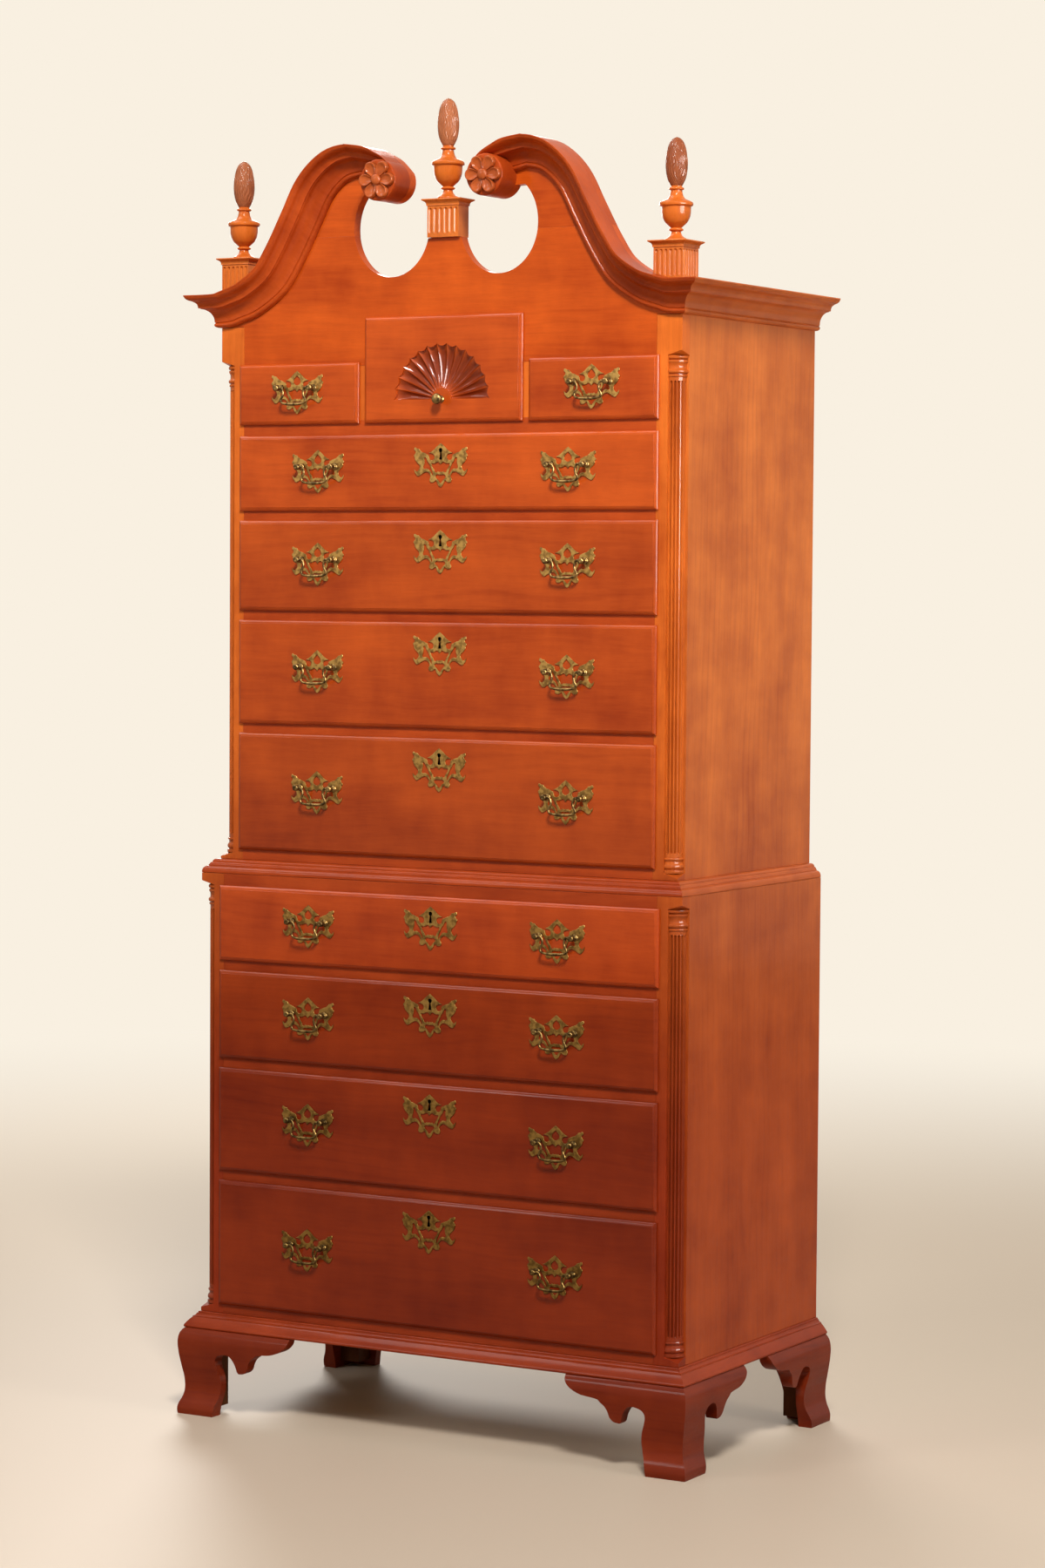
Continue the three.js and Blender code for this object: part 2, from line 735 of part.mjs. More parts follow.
// Scrolled lower edge of a bracket: [share of the wing length, share of the height]
const wingShares = [
  [0, 0], [0.33, 0], [0.362, 0.2], [0.365, 0.4], [0.345, 0.63], [0.4, 0.735], [0.458, 0.735], [0.5, 0.66],
  [0.534, 0.54], [0.592, 0.54], [0.65, 0.62], [0.69, 0.73], [0.748, 0.8], [0.87, 0.82], [0.95, 0.88],
  [1, 1], [0, 1],
];
const rearWingShares = [
  [0, 0], [0.33, 0], [0.36, 0.3], [0.45, 0.6], [0.62, 0.8], [0.8, 0.86], [0.8, 1], [0, 1],
];

function ogeeLine(face, direction) {
  const height = footHeight - fit;
  return ogeeShares.map(([reach, rise]) => [face + direction * reach * footReach, rise * height]);
}

function wingOutline(shares, from, direction) {
  const height = footHeight - fit;
  return shares.map(([along, rise]) => [from + direction * along * footWingLength, rise * height]);
}

// Everything inside the ogee faces of the right side and, if asked, of the front
function ogeeEnvelope(withFront) {
  const height = footHeight - fit;
  const side = [...ogeeLine(lowerHalf, 1), [0, 0], [0, height]];
  const sidePrism = pushed(side, 'y', -frontStep - footReach - cutOverrun, backFaceY);
  if (!withFront) return sidePrism;
  const front = [...ogeeLine(-frontStep, -1), [backFaceY, 0], [backFaceY, height]];
  return sidePrism.intersect(pushed(front, 'x', 0, lowerHalf + footReach + cutOverrun));
}

function makeFrontFoot() {
  const cornerX = lowerHalf + footReach;
  const cornerY = -frontStep - footReach;
  const innerX = lowerHalf + footInnerReach;
  const innerY = -frontStep - footInnerReach;
  const frontWing = pushed(wingOutline(wingShares, cornerX, -1), 'y', cornerY, innerY);
  const sideWing = pushed(wingOutline(wingShares, cornerY, 1), 'x', innerX, cornerX);
  const glueBlock = block(
    innerX - footBlockSize, innerX + weldDepth, innerY - weldDepth, innerY + footBlockSize,
    footBlockRise, footHeight - fit,
  );
  return joined(frontWing, sideWing).intersect(ogeeEnvelope(true)).add(glueBlock);
}

function makeBackFoot() {
  const cornerX = lowerHalf + footReach;
  const innerX = lowerHalf + footInnerReach;
  const bracketY = backFaceY - rearBracketThickness;
  const sideWing = pushed(wingOutline(wingShares, backFaceY, -1), 'x', innerX, cornerX);
  const rearWing = pushed(wingOutline(rearWingShares, cornerX, -1), 'y', bracketY, backFaceY);
  const glueBlock = block(
    innerX - footBlockSize, innerX + weldDepth, bracketY - footBlockSize, bracketY + weldDepth,
    footBlockRise, footHeight - fit,
  );
  return joined(sideWing, rearWing).intersect(ogeeEnvelope(false)).add(glueBlock);
}

// Bat-wing plate, right half from the top: [share of the half width, share of the half height]
const plateShares = [
  [0, 1], [0.3, 0.62], [0.26, 0.28], [0.46, 0.24], [0.6, 0.5], [0.78, 0.52], [0.85, 0.8], [1, 0.76],
  [1, 0.22], [0.82, -0.1], [1, -0.4], [0.84, -0.52], [0.4, -0.42], [0.42, -0.7], [0.16, -0.76], [0, -1],
];

function makePlate(x, y, z) {
  const right = plateShares.map(([across, rise]) => (
    [x + across * plateWidth / 2, z + rise * plateHeight / 2]
  ));
  const left = plateShares.slice(1, -1).map(([across, rise]) => (
    [x - across * plateWidth / 2, z + rise * plateHeight / 2]
  )).reverse();
  return pushed([...right, ...left], 'y', y - plateThickness, y + weldDepth);
}

const postSides = 6;

function makePost(x, y, z) {
  const profile = [
    [0, -weldDepth], [postRadius, -weldDepth], [postRadius, postLength - postBallRadius],
    [postBallRadius, postLength], [0, postLength + postBallRadius],
  ];
  return turnedForward(profile, postSides, x, y, z);
}

function makeKnob(x, y, z) {
  const profile = [
    [0, -weldDepth], [knobRadius / 2, -weldDepth], [knobRadius / 3, knobLength / 3],
    [knobRadius, knobLength * 2 / 3], [knobRadius * 2 / 3, knobLength], [0, knobLength],
  ];
  return turnedForward(profile, finialSides, x, y, z);
}

// Recess of the half-round fan, which leaves its plain hub standing
function makeFanRecess(x, y, z) {
  const rim = [];
  for (let i = 0; i <= fanLobes * 2; i += 1) {
    const angle = (i / (fanLobes * 2)) * Math.PI;
    const reach = (i % 2 === 0 ? 1 : fanScallopShare) * fanRadius;
    rim.push([x + reach * Math.cos(angle), z + reach * Math.sin(angle)]);
  }
  for (let i = fanLobes; i >= 0; i -= 1) {
    const angle = (i / fanLobes) * Math.PI;
    rim.push([x + fanHubRadius * Math.cos(angle), z + fanHubRadius * Math.sin(angle)]);
  }
  return pushed(rim, 'y', y - cutOverrun, y + fanRecess);
}

// Lipped front with an open box behind it; x0 to x1 and z0 to z1 are the lip's edges
function makeDrawer({ x0, x1, z0, z1, front }) {
  const face = front - lipThickness;
  const lipRing = (y, inset) => [
    new THREE.Vector3(x0 + inset, y, z0 + inset),
    new THREE.Vector3(x1 - inset, y, z0 + inset),
    new THREE.Vector3(x1 - inset, y, z1 - inset),
    new THREE.Vector3(x0 + inset, y, z1 - inset),
  ];
  const lip = lofted([lipRing(front - fit, 0), lipRing(face + lipBevel, 0), lipRing(face, lipBevel)]);
  const [boxX0, boxX1] = [x0 + lipOverlap + openingPlay, x1 - lipOverlap - openingPlay];
  const boxZ = z0 + lipOverlap + fit;
  const plugTop = z1 - lipOverlap - openingPlay;
  const sideTop = z1 - lipOverlap - drawerSideDrop;
  const backOfFront = front + drawerFrontThickness;
  const bottomZ = boxZ + drawerBottomRise;
  const hollow = block(
    boxX0 + drawerSideThickness, boxX1 - drawerSideThickness,
    backOfFront, drawerBackY - drawerSideThickness,
    bottomZ + drawerBottomThickness, z1 + cutOverrun,
  );
  const underside = block(
    boxX0 + drawerSideThickness, boxX1 - drawerSideThickness,
    backOfFront, drawerBackY - drawerSideThickness,
    boxZ - cutOverrun, bottomZ,
  );
  const plug = block(boxX0, boxX1, front - fit - weldDepth, backOfFront, boxZ, plugTop);
  const box = block(boxX0, boxX1, backOfFront - weldDepth, drawerBackY, boxZ, sideTop);
  return joined(lip, plug, box.subtract(hollow).subtract(underside));
}

// Swan-necked bail between the two posts of a pull
const bailSides = 6;
const bailDropShares = [0, 0, 0.1, 0.35, 0.72, 0.95, 1];

function makeBail(x, y, z) {
  const pinEnd = postSpacing / 2 - postBallRadius * Math.cos(Math.PI / postSides) - fit;
  const halves = [
    pinEnd, (pinEnd + bailTopHalf) / 2, bailTopHalf, bailTopHalf, bailBellyHalf, bailTopHalf, bailTopHalf / 2,
  ];
  const right = bailDropShares.map((drop, i) => new THREE.Vector3(x + halves[i], y, z - drop * bailDrop));
  const left = bailDropShares.map((drop, i) => new THREE.Vector3(x - halves[i], y, z - drop * bailDrop));
  const path = [...right, ...left.reverse()];
  return lofted(path.map((place, i) => {
    const along = path[Math.min(i + 1, path.length - 1)].clone().sub(path[Math.max(i - 1, 0)]).normalize();
    const ring = [];
    for (let j = 0; j < bailSides; j += 1) {
      const angle = (j / bailSides) * 2 * Math.PI;
      const [across, out] = [bailWireRadius * Math.cos(angle), bailWireRadius * Math.sin(angle)];
      ring.push(new THREE.Vector3(place.x - along.z * across, place.y + out, place.z + along.x * across));
    }
    return ring;
  }));
}

// The whole piece, shifted so that the origin is under its middle
const highboy = new THREE.Group();

function addPiece(name, shape, material) {
  const geometry = shape.isBufferGeometry ? welded(shape) : geometryOf(shape);
  const mesh = new THREE.Mesh(geometry, material);
  mesh.name = name;
  highboy.add(mesh);
}

function addPair(name, shape, material) {
  addPiece(`${name}_left`, mirrored(shape), material);
  addPiece(`${name}_right`, shape, material);
}

addPair('upper_side', makeUpperSide(), cherryLight);
addPair('lower_side', makeLowerSide(), cherryLight);
addPiece('upper_frame', makeUpperFrame(), cherry);
addPiece('lower_frame', makeLowerFrame(), cherry);
addPiece('upper_bottom', makeUpperBottom(), poplar);
addPiece('upper_back', makeBack(upperHalf, upperFloorZ, corniceTopZ - topBoardThickness - fit), poplar);
addPiece('lower_back', makeBack(lowerHalf, lowerFloorZ, lowerTopZ - fit), poplar);
addPiece('upper_top', makeTop(), cherry);
addPiece('waist_moulding', makeWaistMoulding(), cherry);
addPiece('base_moulding', makeBaseMoulding(), cherry);
addPiece('scroll_board', makeScrollBoard(), cherry);
addPair('swan_neck', makeSwanNeck(), cherry);
addPair('rosette', makeRosette(), cherryDark);

addPair('upper_column', makeColumn(
  upperHalf, 0, upperFloorZ + upperBaseBlockHeight + fit, friezeZ - fit,
), cherryDark);
addPair('lower_column', makeColumn(
  lowerHalf, -frontStep, lowerFloorZ + lowerBaseBlockHeight + fit, lowerStack.top - fit,
), cherryDark);
addPair('front_foot', makeFrontFoot(), cherry);
addPair('back_foot', makeBackFoot(), cherry);

const centrePlinthZ = corniceFootZ + centrePlinthFootRise + fit;
addPiece('centre_plinth', makePlinth({
  x: 0,
  width: centrePlinthWidth,
  y: -centrePlinthProud,
  depth: centrePlinthDepth,
  floor: centrePlinthZ,
  height: centrePlinthHeight,
  sideFlutes: false,
}), cherryDark);
const cornerPlinthZ = corniceTopZ + fit;
const cornerPlinthX = upperHalf - cornerPlinthSize / 2;
addPair('corner_plinth', makePlinth({
  x: cornerPlinthX,
  width: cornerPlinthSize,
  y: 0,
  depth: cornerPlinthSize,
  floor: cornerPlinthZ,
  height: cornerPlinthHeight,
  sideFlutes: true,
}), cherryDark);
const centrePlinthTop = centrePlinthZ + centrePlinthHeight + plinthCapHeight + fit;
const cornerPlinthTop = cornerPlinthZ + cornerPlinthHeight + plinthCapHeight + fit;
const centreFinialY = -centrePlinthProud + centrePlinthDepth / 2;
addPiece('centre_finial', makeFinial(0, centreFinialY, centrePlinthTop), cherryDark);
for (const [side, name] of [[-1, 'left'], [1, 'right']]) {
  const finial = makeFinial(side * cornerPlinthX, cornerPlinthSize / 2, cornerPlinthTop);
  addPiece(`${name}_finial`, finial, cherryDark);
}

// A drawer with its plates and posts, and the bails that swing in the posts
function addDrawer(name, place, pullXs, keyholeX) {
  const face = place.front - lipThickness;
  const pullZ = (place.z0 + place.z1) / 2 + pullRise;
  const axisZ = pullZ + postRise;
  let drawer = makeDrawer(place);
  for (const x of pullXs) {
    drawer = joined(
      drawer,
      makePlate(x, face, pullZ),
      makePost(x - postSpacing / 2, face, axisZ),
      makePost(x + postSpacing / 2, face, axisZ),
    );
  }
  if (keyholeX !== undefined) drawer = drawer.add(makePlate(keyholeX, face, place.z1 - keyholeDrop));
  addPiece(`drawer_${name}`, drawer, cherry);
  pullXs.forEach((x, i) => {
    const hand = pullXs.length === 1 ? '' : ['_left', '_right'][i];
    addPiece(`bail_${name}${hand}`, makeBail(x, face - postLength, axisZ), brass);
  });
}

function addStack(name, stack, openingHalf, front) {
  const half = openingHalf + lipOverlap;
  stack.spans.forEach(([z0, z1], i) => {
    const place = { x0: -half, x1: half, z0, z1, front };
    addDrawer(`${name}_${stack.spans.length - i}`, place, [-pullOffset, pullOffset], 0);
  });
}

addStack('lower', lowerStack, lowerOpeningHalf, -frontStep);
addStack('upper', upperStack, upperOpeningHalf, 0);

const smallOuterX = upperOpeningHalf + lipOverlap;
const smallMiddleX = (smallInnerX + smallOuterX) / 2;
const smallPlace = { z0: topRowZ, z1: topRowZ + smallFront, front: 0 };
addDrawer('small_left', { ...smallPlace, x0: -smallOuterX, x1: -smallInnerX }, [-smallMiddleX]);
addDrawer('small_right', { ...smallPlace, x0: smallInnerX, x1: smallOuterX }, [smallMiddleX]);

const fanPlace = { x0: -fanHalf, x1: fanHalf, z0: topRowZ, z1: topRowZ + fanFront, front: 0 };
const fanZ = topRowZ + fanRise;
addPiece('drawer_fan', joined(
  makeDrawer(fanPlace).subtract(makeFanRecess(0, -lipThickness, fanZ)),
  makeKnob(0, -lipThickness, fanZ),
), cherry);

const middle = new THREE.Box3().setFromObject(highboy).getCenter(new THREE.Vector3());
highboy.position.set(0, -middle.y, 0);

export default highboy;
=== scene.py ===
"""Cherry chest-on-chest with a scrolled pediment: its finished surfaces around a fixed frame.

Metres, +Z up, X to the viewer's right, drawer fronts towards -Y. Places and main sizes are read from
the frame's own nodes. Every other size is a field of the sub-assembly that it belongs to.
"""

import logging
import math
from dataclasses import dataclass
from enum import Enum
from typing import Sequence

import bmesh
import bpy
from mathutils import Matrix, Vector

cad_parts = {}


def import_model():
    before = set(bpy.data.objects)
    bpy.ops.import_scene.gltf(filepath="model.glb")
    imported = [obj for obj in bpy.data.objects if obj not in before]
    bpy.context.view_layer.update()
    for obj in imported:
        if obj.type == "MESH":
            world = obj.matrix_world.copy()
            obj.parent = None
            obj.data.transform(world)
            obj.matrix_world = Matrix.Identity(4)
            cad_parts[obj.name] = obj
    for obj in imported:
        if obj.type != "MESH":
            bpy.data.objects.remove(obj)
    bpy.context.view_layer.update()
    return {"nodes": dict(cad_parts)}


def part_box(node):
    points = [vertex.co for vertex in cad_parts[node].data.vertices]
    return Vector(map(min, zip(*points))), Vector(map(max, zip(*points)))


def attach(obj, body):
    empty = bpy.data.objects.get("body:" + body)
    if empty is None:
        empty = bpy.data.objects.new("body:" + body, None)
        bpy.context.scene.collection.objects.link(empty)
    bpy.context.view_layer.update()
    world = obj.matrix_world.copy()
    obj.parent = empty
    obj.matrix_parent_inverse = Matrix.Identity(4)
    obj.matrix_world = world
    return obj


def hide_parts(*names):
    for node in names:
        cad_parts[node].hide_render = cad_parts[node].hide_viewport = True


logging.basicConfig(level=logging.INFO, format="%(levelname)s %(message)s")
log = logging.getLogger("chest")

Piece = bpy.types.Object
Socket = bpy.types.NodeSocket
Colour = tuple[float, float, float, float]
Pair = tuple[float, float]
Ring = list[Vector]

CASE = "case"
OVERRUN = 0.004
WELD = 0.00002
LIP_OVERLAP = 0.006
TO_FRONT = Matrix.Rotation(math.pi / 2, 4, "X")


def srgb(red: int, green: int, blue: int) -> Colour:
    """Turn a display colour of 0 to 255 into the linear colour that shaders use."""
    def linear(level: int) -> float:
        """Turn one level."""
        share = level / 255
        return share / 12.92 if share <= 0.04045 else ((share + 0.055) / 1.055) ** 2.4
    return (linear(red), linear(green), linear(blue), 1.0)


# Lines and curves


def passing(before: Pair, start: Pair, end: Pair, after: Pair, share: float) -> Pair:
    """Give a point on the smooth curve from start to end.

    Args:
        before: The point ahead of start, which sets the direction there.
        start: Where the stretch begins.
        end: Where the stretch ends.
        after: The point past end, which sets the direction there.
        share: How far along the stretch, from 0 to 1.

    Returns:
        The point, with as many coordinates as the points given.
    """
    second, third = share * share, share * share * share

    def blend(a: float, b: float, c: float, d: float) -> float:
        """Blend one coordinate of the four points."""
        bend, twist = 2 * a - 5 * b + 4 * c - d, 3 * b - a - 3 * c + d
        return 0.5 * (2 * b + (c - a) * share + bend * second + twist * third)

    return tuple(blend(*four) for four in zip(before, start, end, after))


def smooth(points: Sequence[Pair], steps: int) -> list[Pair]:
    """Run one smooth curve through points.

    Args:
        points: The points.
        steps: Steps between each two of them.

    Returns:
        The points of the curve.
    """
    line = [tuple(points[0])]
    for index in range(len(points) - 1):
        start, end = points[index], points[index + 1]
        before = points[max(index - 1, 0)]
        after = points[min(index + 2, len(points) - 1)]
        line += [passing(before, start, end, after, step / steps) for step in range(1, steps + 1)]
    return line


def drawn(strokes: Sequence[Sequence[Pair]], steps: int = 5) -> list[Pair]:
    """Draw strokes that are smooth inside and meet at corners.

    Args:
        strokes: Points of each stroke. A stroke starts where the one ahead of it ended, so it leaves
            that point out. A stroke of one point is a straight line to it.
        steps: Steps between two points of a curved stroke.

    Returns:
        The points of the whole line, from the only point of the first stroke.
    """
    line = [tuple(strokes[0][0])]
    for stroke in strokes[1:]:
        if len(stroke) == 1:
            line.append(tuple(stroke[0]))
        else:
            line += smooth([line[-1], *stroke], steps)[1:]
    return line


def scaled(points: Sequence[Pair], across: float, up: float) -> list[Pair]:
    """Scale shares to real sizes, one size for each coordinate."""
    return [(a * across, b * up) for a, b in points]


def level_on(line: Sequence[Pair], height: float) -> float:
    """Read the first coordinate of a line where its second one has a given height.

    Args:
        line: The line's points.
        height: The height.

    Returns:
        The first coordinate there, or at the nearer end of the line.
    """
    for (a, low), (b, high) in zip(line, line[1:]):
        if min(low, high) <= height <= max(low, high) and low != high:
            return a + (b - a) * (height - low) / (high - low)
    return line[0][0] if height < line[0][1] else line[-1][0]


def fluted(start: float, end: float, count: int, land: float, swell: float) -> list[Pair]:
    """Lay flutes side by side along a line.

    Args:
        start: Where the first flute begins.
        end: Where the last flute ends.
        count: The number of flutes.
        land: The flat strip between two flutes.
        swell: The flutes' width and depth here, as a share of the full ones. It falls at a round end.

    Returns:
        Pairs of a position along the line and the share of the full depth there.
    """
    samples, least_swell = 7, 0.05
    pitch = (end - start + land) / count
    half = (pitch - land) / 2 * max(swell, least_swell)
    line = []
    for index in range(count):
        centre = start + (pitch - land) / 2 + index * pitch
        for sample in range(samples):
            across = 2 * sample / (samples - 1) - 1
            line.append((centre + across * half, swell * (1 - across * across)))
    return line


def flute_levels(low: float, high: float, radius: float, steps: int = 5) -> list[Pair]:
    """Give heights along flutes with round ends.

    Args:
        low: Where the flutes begin.
        high: Where they end.
        radius: The radius of their ends.
        steps: Steps over each end.

    Returns:
        Pairs of a height and the flutes' swell there.
    """
    turns = [step / steps * math.pi / 2 for step in range(steps + 1)]
    ends = [(radius * (1 - math.cos(turn)), math.sin(turn)) for turn in turns]
    upper = [(high - rise, swell) for rise, swell in reversed(ends)]
    return [(low + rise, swell) for rise, swell in ends] + upper


# Modelling moves


def clear_selection() -> None:
    """Leave edit mode and deselect everything, the frame's own nodes included."""
    if bpy.context.mode != "OBJECT":
        bpy.ops.object.mode_set(mode="OBJECT")
    bpy.ops.object.select_all(action="DESELECT")


def focus(piece: Piece) -> None:
    """Select one piece alone and make it the active one."""
    clear_selection()
    piece.select_set(True)
    bpy.context.view_layer.objects.active = piece


def added(name: str) -> Piece:
    """Name the primitive that was just added."""
    piece = bpy.context.active_object
    piece.name = name
    piece.data.name = name
    return piece


def seat_end_face(piece: Piece, ring: Ring) -> None:
    """Move the corners of the one selected face onto a ring.

    Args:
        piece: The piece, in edit mode.
        ring: Where the corners go.
    """
    mesh = bmesh.from_edit_mesh(piece.data)
    face = next(face for face in mesh.faces if face.select)
    for loop, corner in zip(face.loops, ring):
        loop.vert.co = corner


def loft(name: str, rings: Sequence[Ring]) -> Piece:
    """Grow a closed skin over rings, by extruding the end face from each ring to the next.

    Args:
        name: The piece's name.
        rings: Rings with the same number of corners, in order.

    Returns:
        The piece, capped at both ends.
    """
    clear_selection()
    bpy.ops.mesh.primitive_circle_add(vertices=len(rings[0]), fill_type="NGON")
    piece = added(name)
    bpy.ops.object.mode_set(mode="EDIT")
    bpy.ops.mesh.select_all(action="SELECT")
    seat_end_face(piece, rings[0])
    for ring in rings[1:]:
        bpy.ops.mesh.extrude_region_move()
        seat_end_face(piece, ring)
    bpy.ops.mesh.select_all(action="SELECT")
    bpy.ops.mesh.normals_make_consistent(inside=False)
    bpy.ops.object.mode_set(mode="OBJECT")
    return piece


def slab(name: str, outline: Ring, push: Vector) -> Piece:
    """Give a flat outline a thickness."""
    return loft(name, [outline, [corner + push for corner in outline]])


def spun(name: str, profile: Sequence[Pair], steps: int) -> Piece:
    """Turn a profile about the vertical axis, as on a lathe.

    Args:
        name: The piece's name.
        profile: Pairs of a radius and a height, from one end on the axis to the other.
        steps: Steps round the axis.

    Returns:
        The piece.
    """
    clear_selection()
    bpy.ops.mesh.primitive_circle_add(vertices=len(profile), fill_type="NOTHING")
    piece = added(name)
    bpy.ops.object.mode_set(mode="EDIT")
    bpy.ops.mesh.select_all(action="DESELECT")
    mesh = bmesh.from_edit_mesh(piece.data)
    for vertex, (radius, height) in zip(mesh.verts, profile):
        vertex.co = (radius, 0, height)
    last = len(profile) - 1
    for edge in mesh.edges:
        edge.select = {vertex.index for vertex in edge.verts} == {0, last}
    bmesh.update_edit_mesh(piece.data)
    bpy.ops.mesh.delete(type="EDGE")
    bpy.ops.mesh.select_all(action="SELECT")
    bpy.ops.mesh.spin(steps=steps, angle=math.tau, center=(0, 0, 0), axis=(0, 0, 1))
    bpy.ops.mesh.select_all(action="SELECT")
    bpy.ops.mesh.remove_doubles(threshold=WELD)
    bpy.ops.mesh.normals_make_consistent(inside=False)
    bpy.ops.object.mode_set(mode="OBJECT")
    return piece


def board(name: str, low: Sequence[float], high: Sequence[float], easing: float = 0.0006) -> Piece:
    """Make a sawn board.

    Args:
        name: The board's name.
        low: Its lowest corner.
        high: Its highest corner.
        easing: How wide its edges are eased.

    Returns:
        The board.
    """
    low, high = Vector(low), Vector(high)
    clear_selection()
    bpy.ops.mesh.primitive_cube_add(size=1, location=(low + high) / 2)
    piece = added(name)
    piece.scale = high - low
    bpy.ops.object.transform_apply(location=True, rotation=True, scale=True)
    return eased(piece, easing) if easing else piece


def shaped(piece: Piece, kind: str, **settings: object) -> Piece:
    """Add one modifier to a piece and apply it.

    Args:
        piece: The piece.
        kind: The modifier's type.
        settings: The modifier's own properties.

    Returns:
        The piece.
    """
    focus(piece)
    modifier = piece.modifiers.new(kind.lower(), kind)
    for key, value in settings.items():
        setattr(modifier, key, value)
    bpy.ops.object.modifier_apply(modifier=modifier.name)
    return piece


def eased(piece: Piece, width: float, segments: int = 2, angle: float = 40) -> Piece:
    """Round over the edges that are sharper than an angle in degrees."""
    return shaped(
        piece, "BEVEL", width=width, segments=segments, limit_method="ANGLE",
        angle_limit=math.radians(angle), use_clamp_overlap=True,
    )


def cut(piece: Piece, *cutters: Piece) -> Piece:
    """Take cutters out of a piece and throw the cutters away.

    Args:
        piece: The piece.
        cutters: Closed shapes that overlap it.

    Returns:
        The piece.
    """
    for cutter in cutters:
        shaped(piece, "BOOLEAN", operation="DIFFERENCE", solver="EXACT", object=cutter)
        bpy.data.objects.remove(cutter, do_unlink=True)
    return piece


def sawn_off(piece: Piece, point: Sequence[float], normal: Sequence[float]) -> Piece:
    """Saw a piece along a plane and close the cut.

    Args:
        piece: The piece.
        point: A point on the plane.
        normal: Where the part points that is dropped.

    Returns:
        The piece.
    """
    focus(piece)
    bpy.ops.object.mode_set(mode="EDIT")
    bpy.ops.mesh.select_all(action="SELECT")
    bpy.ops.mesh.bisect(plane_co=point, plane_no=normal, use_fill=True, clear_outer=True)
    bpy.ops.object.mode_set(mode="OBJECT")
    return piece


def copied(piece: Piece, name: str, matrix: Matrix) -> Piece:
    """Copy a piece with a mesh of its own.

    Args:
        piece: The piece.
        name: The copy's name.
        matrix: How the copy's mesh is moved, turned or mirrored.

    Returns:
        The copy.
    """
    copy = piece.copy()
    copy.data = piece.data.copy()
    copy.name = name
    copy.data.name = name
    copy.data.transform(matrix)
    if matrix.determinant() < 0:
        copy.data.flip_normals()
    bpy.context.collection.objects.link(copy)
    return copy


def mirrored(piece: Piece) -> Piece:
    """Copy a right piece to the left side of the chest."""
    return copied(piece, piece.name.replace("right", "left"), Matrix.Diagonal((-1, 1, 1, 1)))


def fused(name: str, parts: Sequence[Piece]) -> Piece:
    """Make several parts one piece.

    Args:
        name: The piece's name.
        parts: The parts.

    Returns:
        The piece.
    """
    focus(parts[0])
    for part in parts[1:]:
        part.select_set(True)
    if len(parts) > 1:
        bpy.ops.object.join()
    return added(name)


def softly_shaded(piece: Piece, angle: float = 32) -> Piece:
    """Shade a piece smooth, apart from edges sharper than an angle in degrees."""
    focus(piece)
    bpy.ops.object.shade_smooth_by_angle(angle=math.radians(angle), keep_sharp_edges=True)
    return piece


# Finishes


class Sheet:
    """A node tree with short words for adding and joining nodes."""

    def __init__(self, tree: bpy.types.NodeTree) -> None:
        """Take the tree to draw on."""
        self.tree = tree

    def add(self, kind: str, inputs: dict | None = None, **settings: object) -> bpy.types.Node:
        """Add a node.

        Args:
            kind: The node's type, without its Shader prefix.
            inputs: Values or other nodes' outputs for its inputs, by name or place.
            settings: The node's own properties.

        Returns:
            The node.
        """
        node = self.tree.nodes.new(kind if kind.startswith("Node") else f"ShaderNode{kind}")
        for key, value in settings.items():
            setattr(node, key, value)
        for key, value in (inputs or {}).items():
            if isinstance(value, Socket):
                self.tree.links.new(value, node.inputs[key])
            else:
                node.inputs[key].default_value = value
        return node

    def stretched(self, source: Socket, scale: Sequence[float]) -> Socket:
        """Scale coordinates by a different amount along each axis."""
        return self.vector("MULTIPLY", source, scale).outputs[0]

    def vector(self, operation: str, *values: object) -> bpy.types.Node:
        """Work out one vector, or its length, from others."""
        return self.add("VectorMath", dict(enumerate(values)), operation=operation)

    def noise(self, source: Socket, scale: float, detail: float) -> Socket:
        """Give soft noise between 0 and 1 over coordinates."""
        inputs = {"Vector": source, "Scale": scale, "Detail": detail, "Roughness": 0.55}
        return self.add("TexNoise", inputs).outputs["Fac"]

    def maths(self, operation: str, *values: object, clamp: bool = False) -> Socket:
        """Work out one number from others."""
        return self.add("Math", dict(enumerate(values)), operation=operation, use_clamp=clamp).outputs[0]

    def ranged(self, source: Socket, low: float, high: float, to_low: float,
               to_high: float, soft: bool = False) -> Socket:
        """Map one range of numbers to another and clamp it.

        Args:
            source: The number.
            low: Where the first range starts.
            high: Where it ends.
            to_low: What its start becomes.
            to_high: What its end becomes.
            soft: Whether the change eases in and out.

        Returns:
            The mapped number.
        """
        inputs = {"Value": source, "From Min": low, "From Max": high, "To Min": to_low, "To Max": to_high}
        kind = "SMOOTHSTEP" if soft else "LINEAR"
        return self.add("MapRange", inputs, interpolation_type=kind, clamp=True).outputs["Result"]

    def tinted(self, colour: Socket, tint: Sequence[float]) -> Socket:
        """Multiply a colour by a tint."""
        node = self.add("Mix", data_type="RGBA", blend_type="MULTIPLY", inputs={0: 1.0, 6: colour, 7: tint})
        return node.outputs[2]

    def mixed(self, share: object, first: object, second: object) -> Socket:
        """Mix two colours by a share."""
        return self.add("Mix", {0: share, 6: first, 7: second}, data_type="RGBA").outputs[2]


def blank_material(name: str) -> tuple[bpy.types.Material, Sheet, bpy.types.Node]:
    """Start a material, and give it with its sheet and its shader."""
    material = bpy.data.materials.new(name)
    material.use_nodes = True
    return material, Sheet(material.node_tree), material.node_tree.nodes["Principled BSDF"]


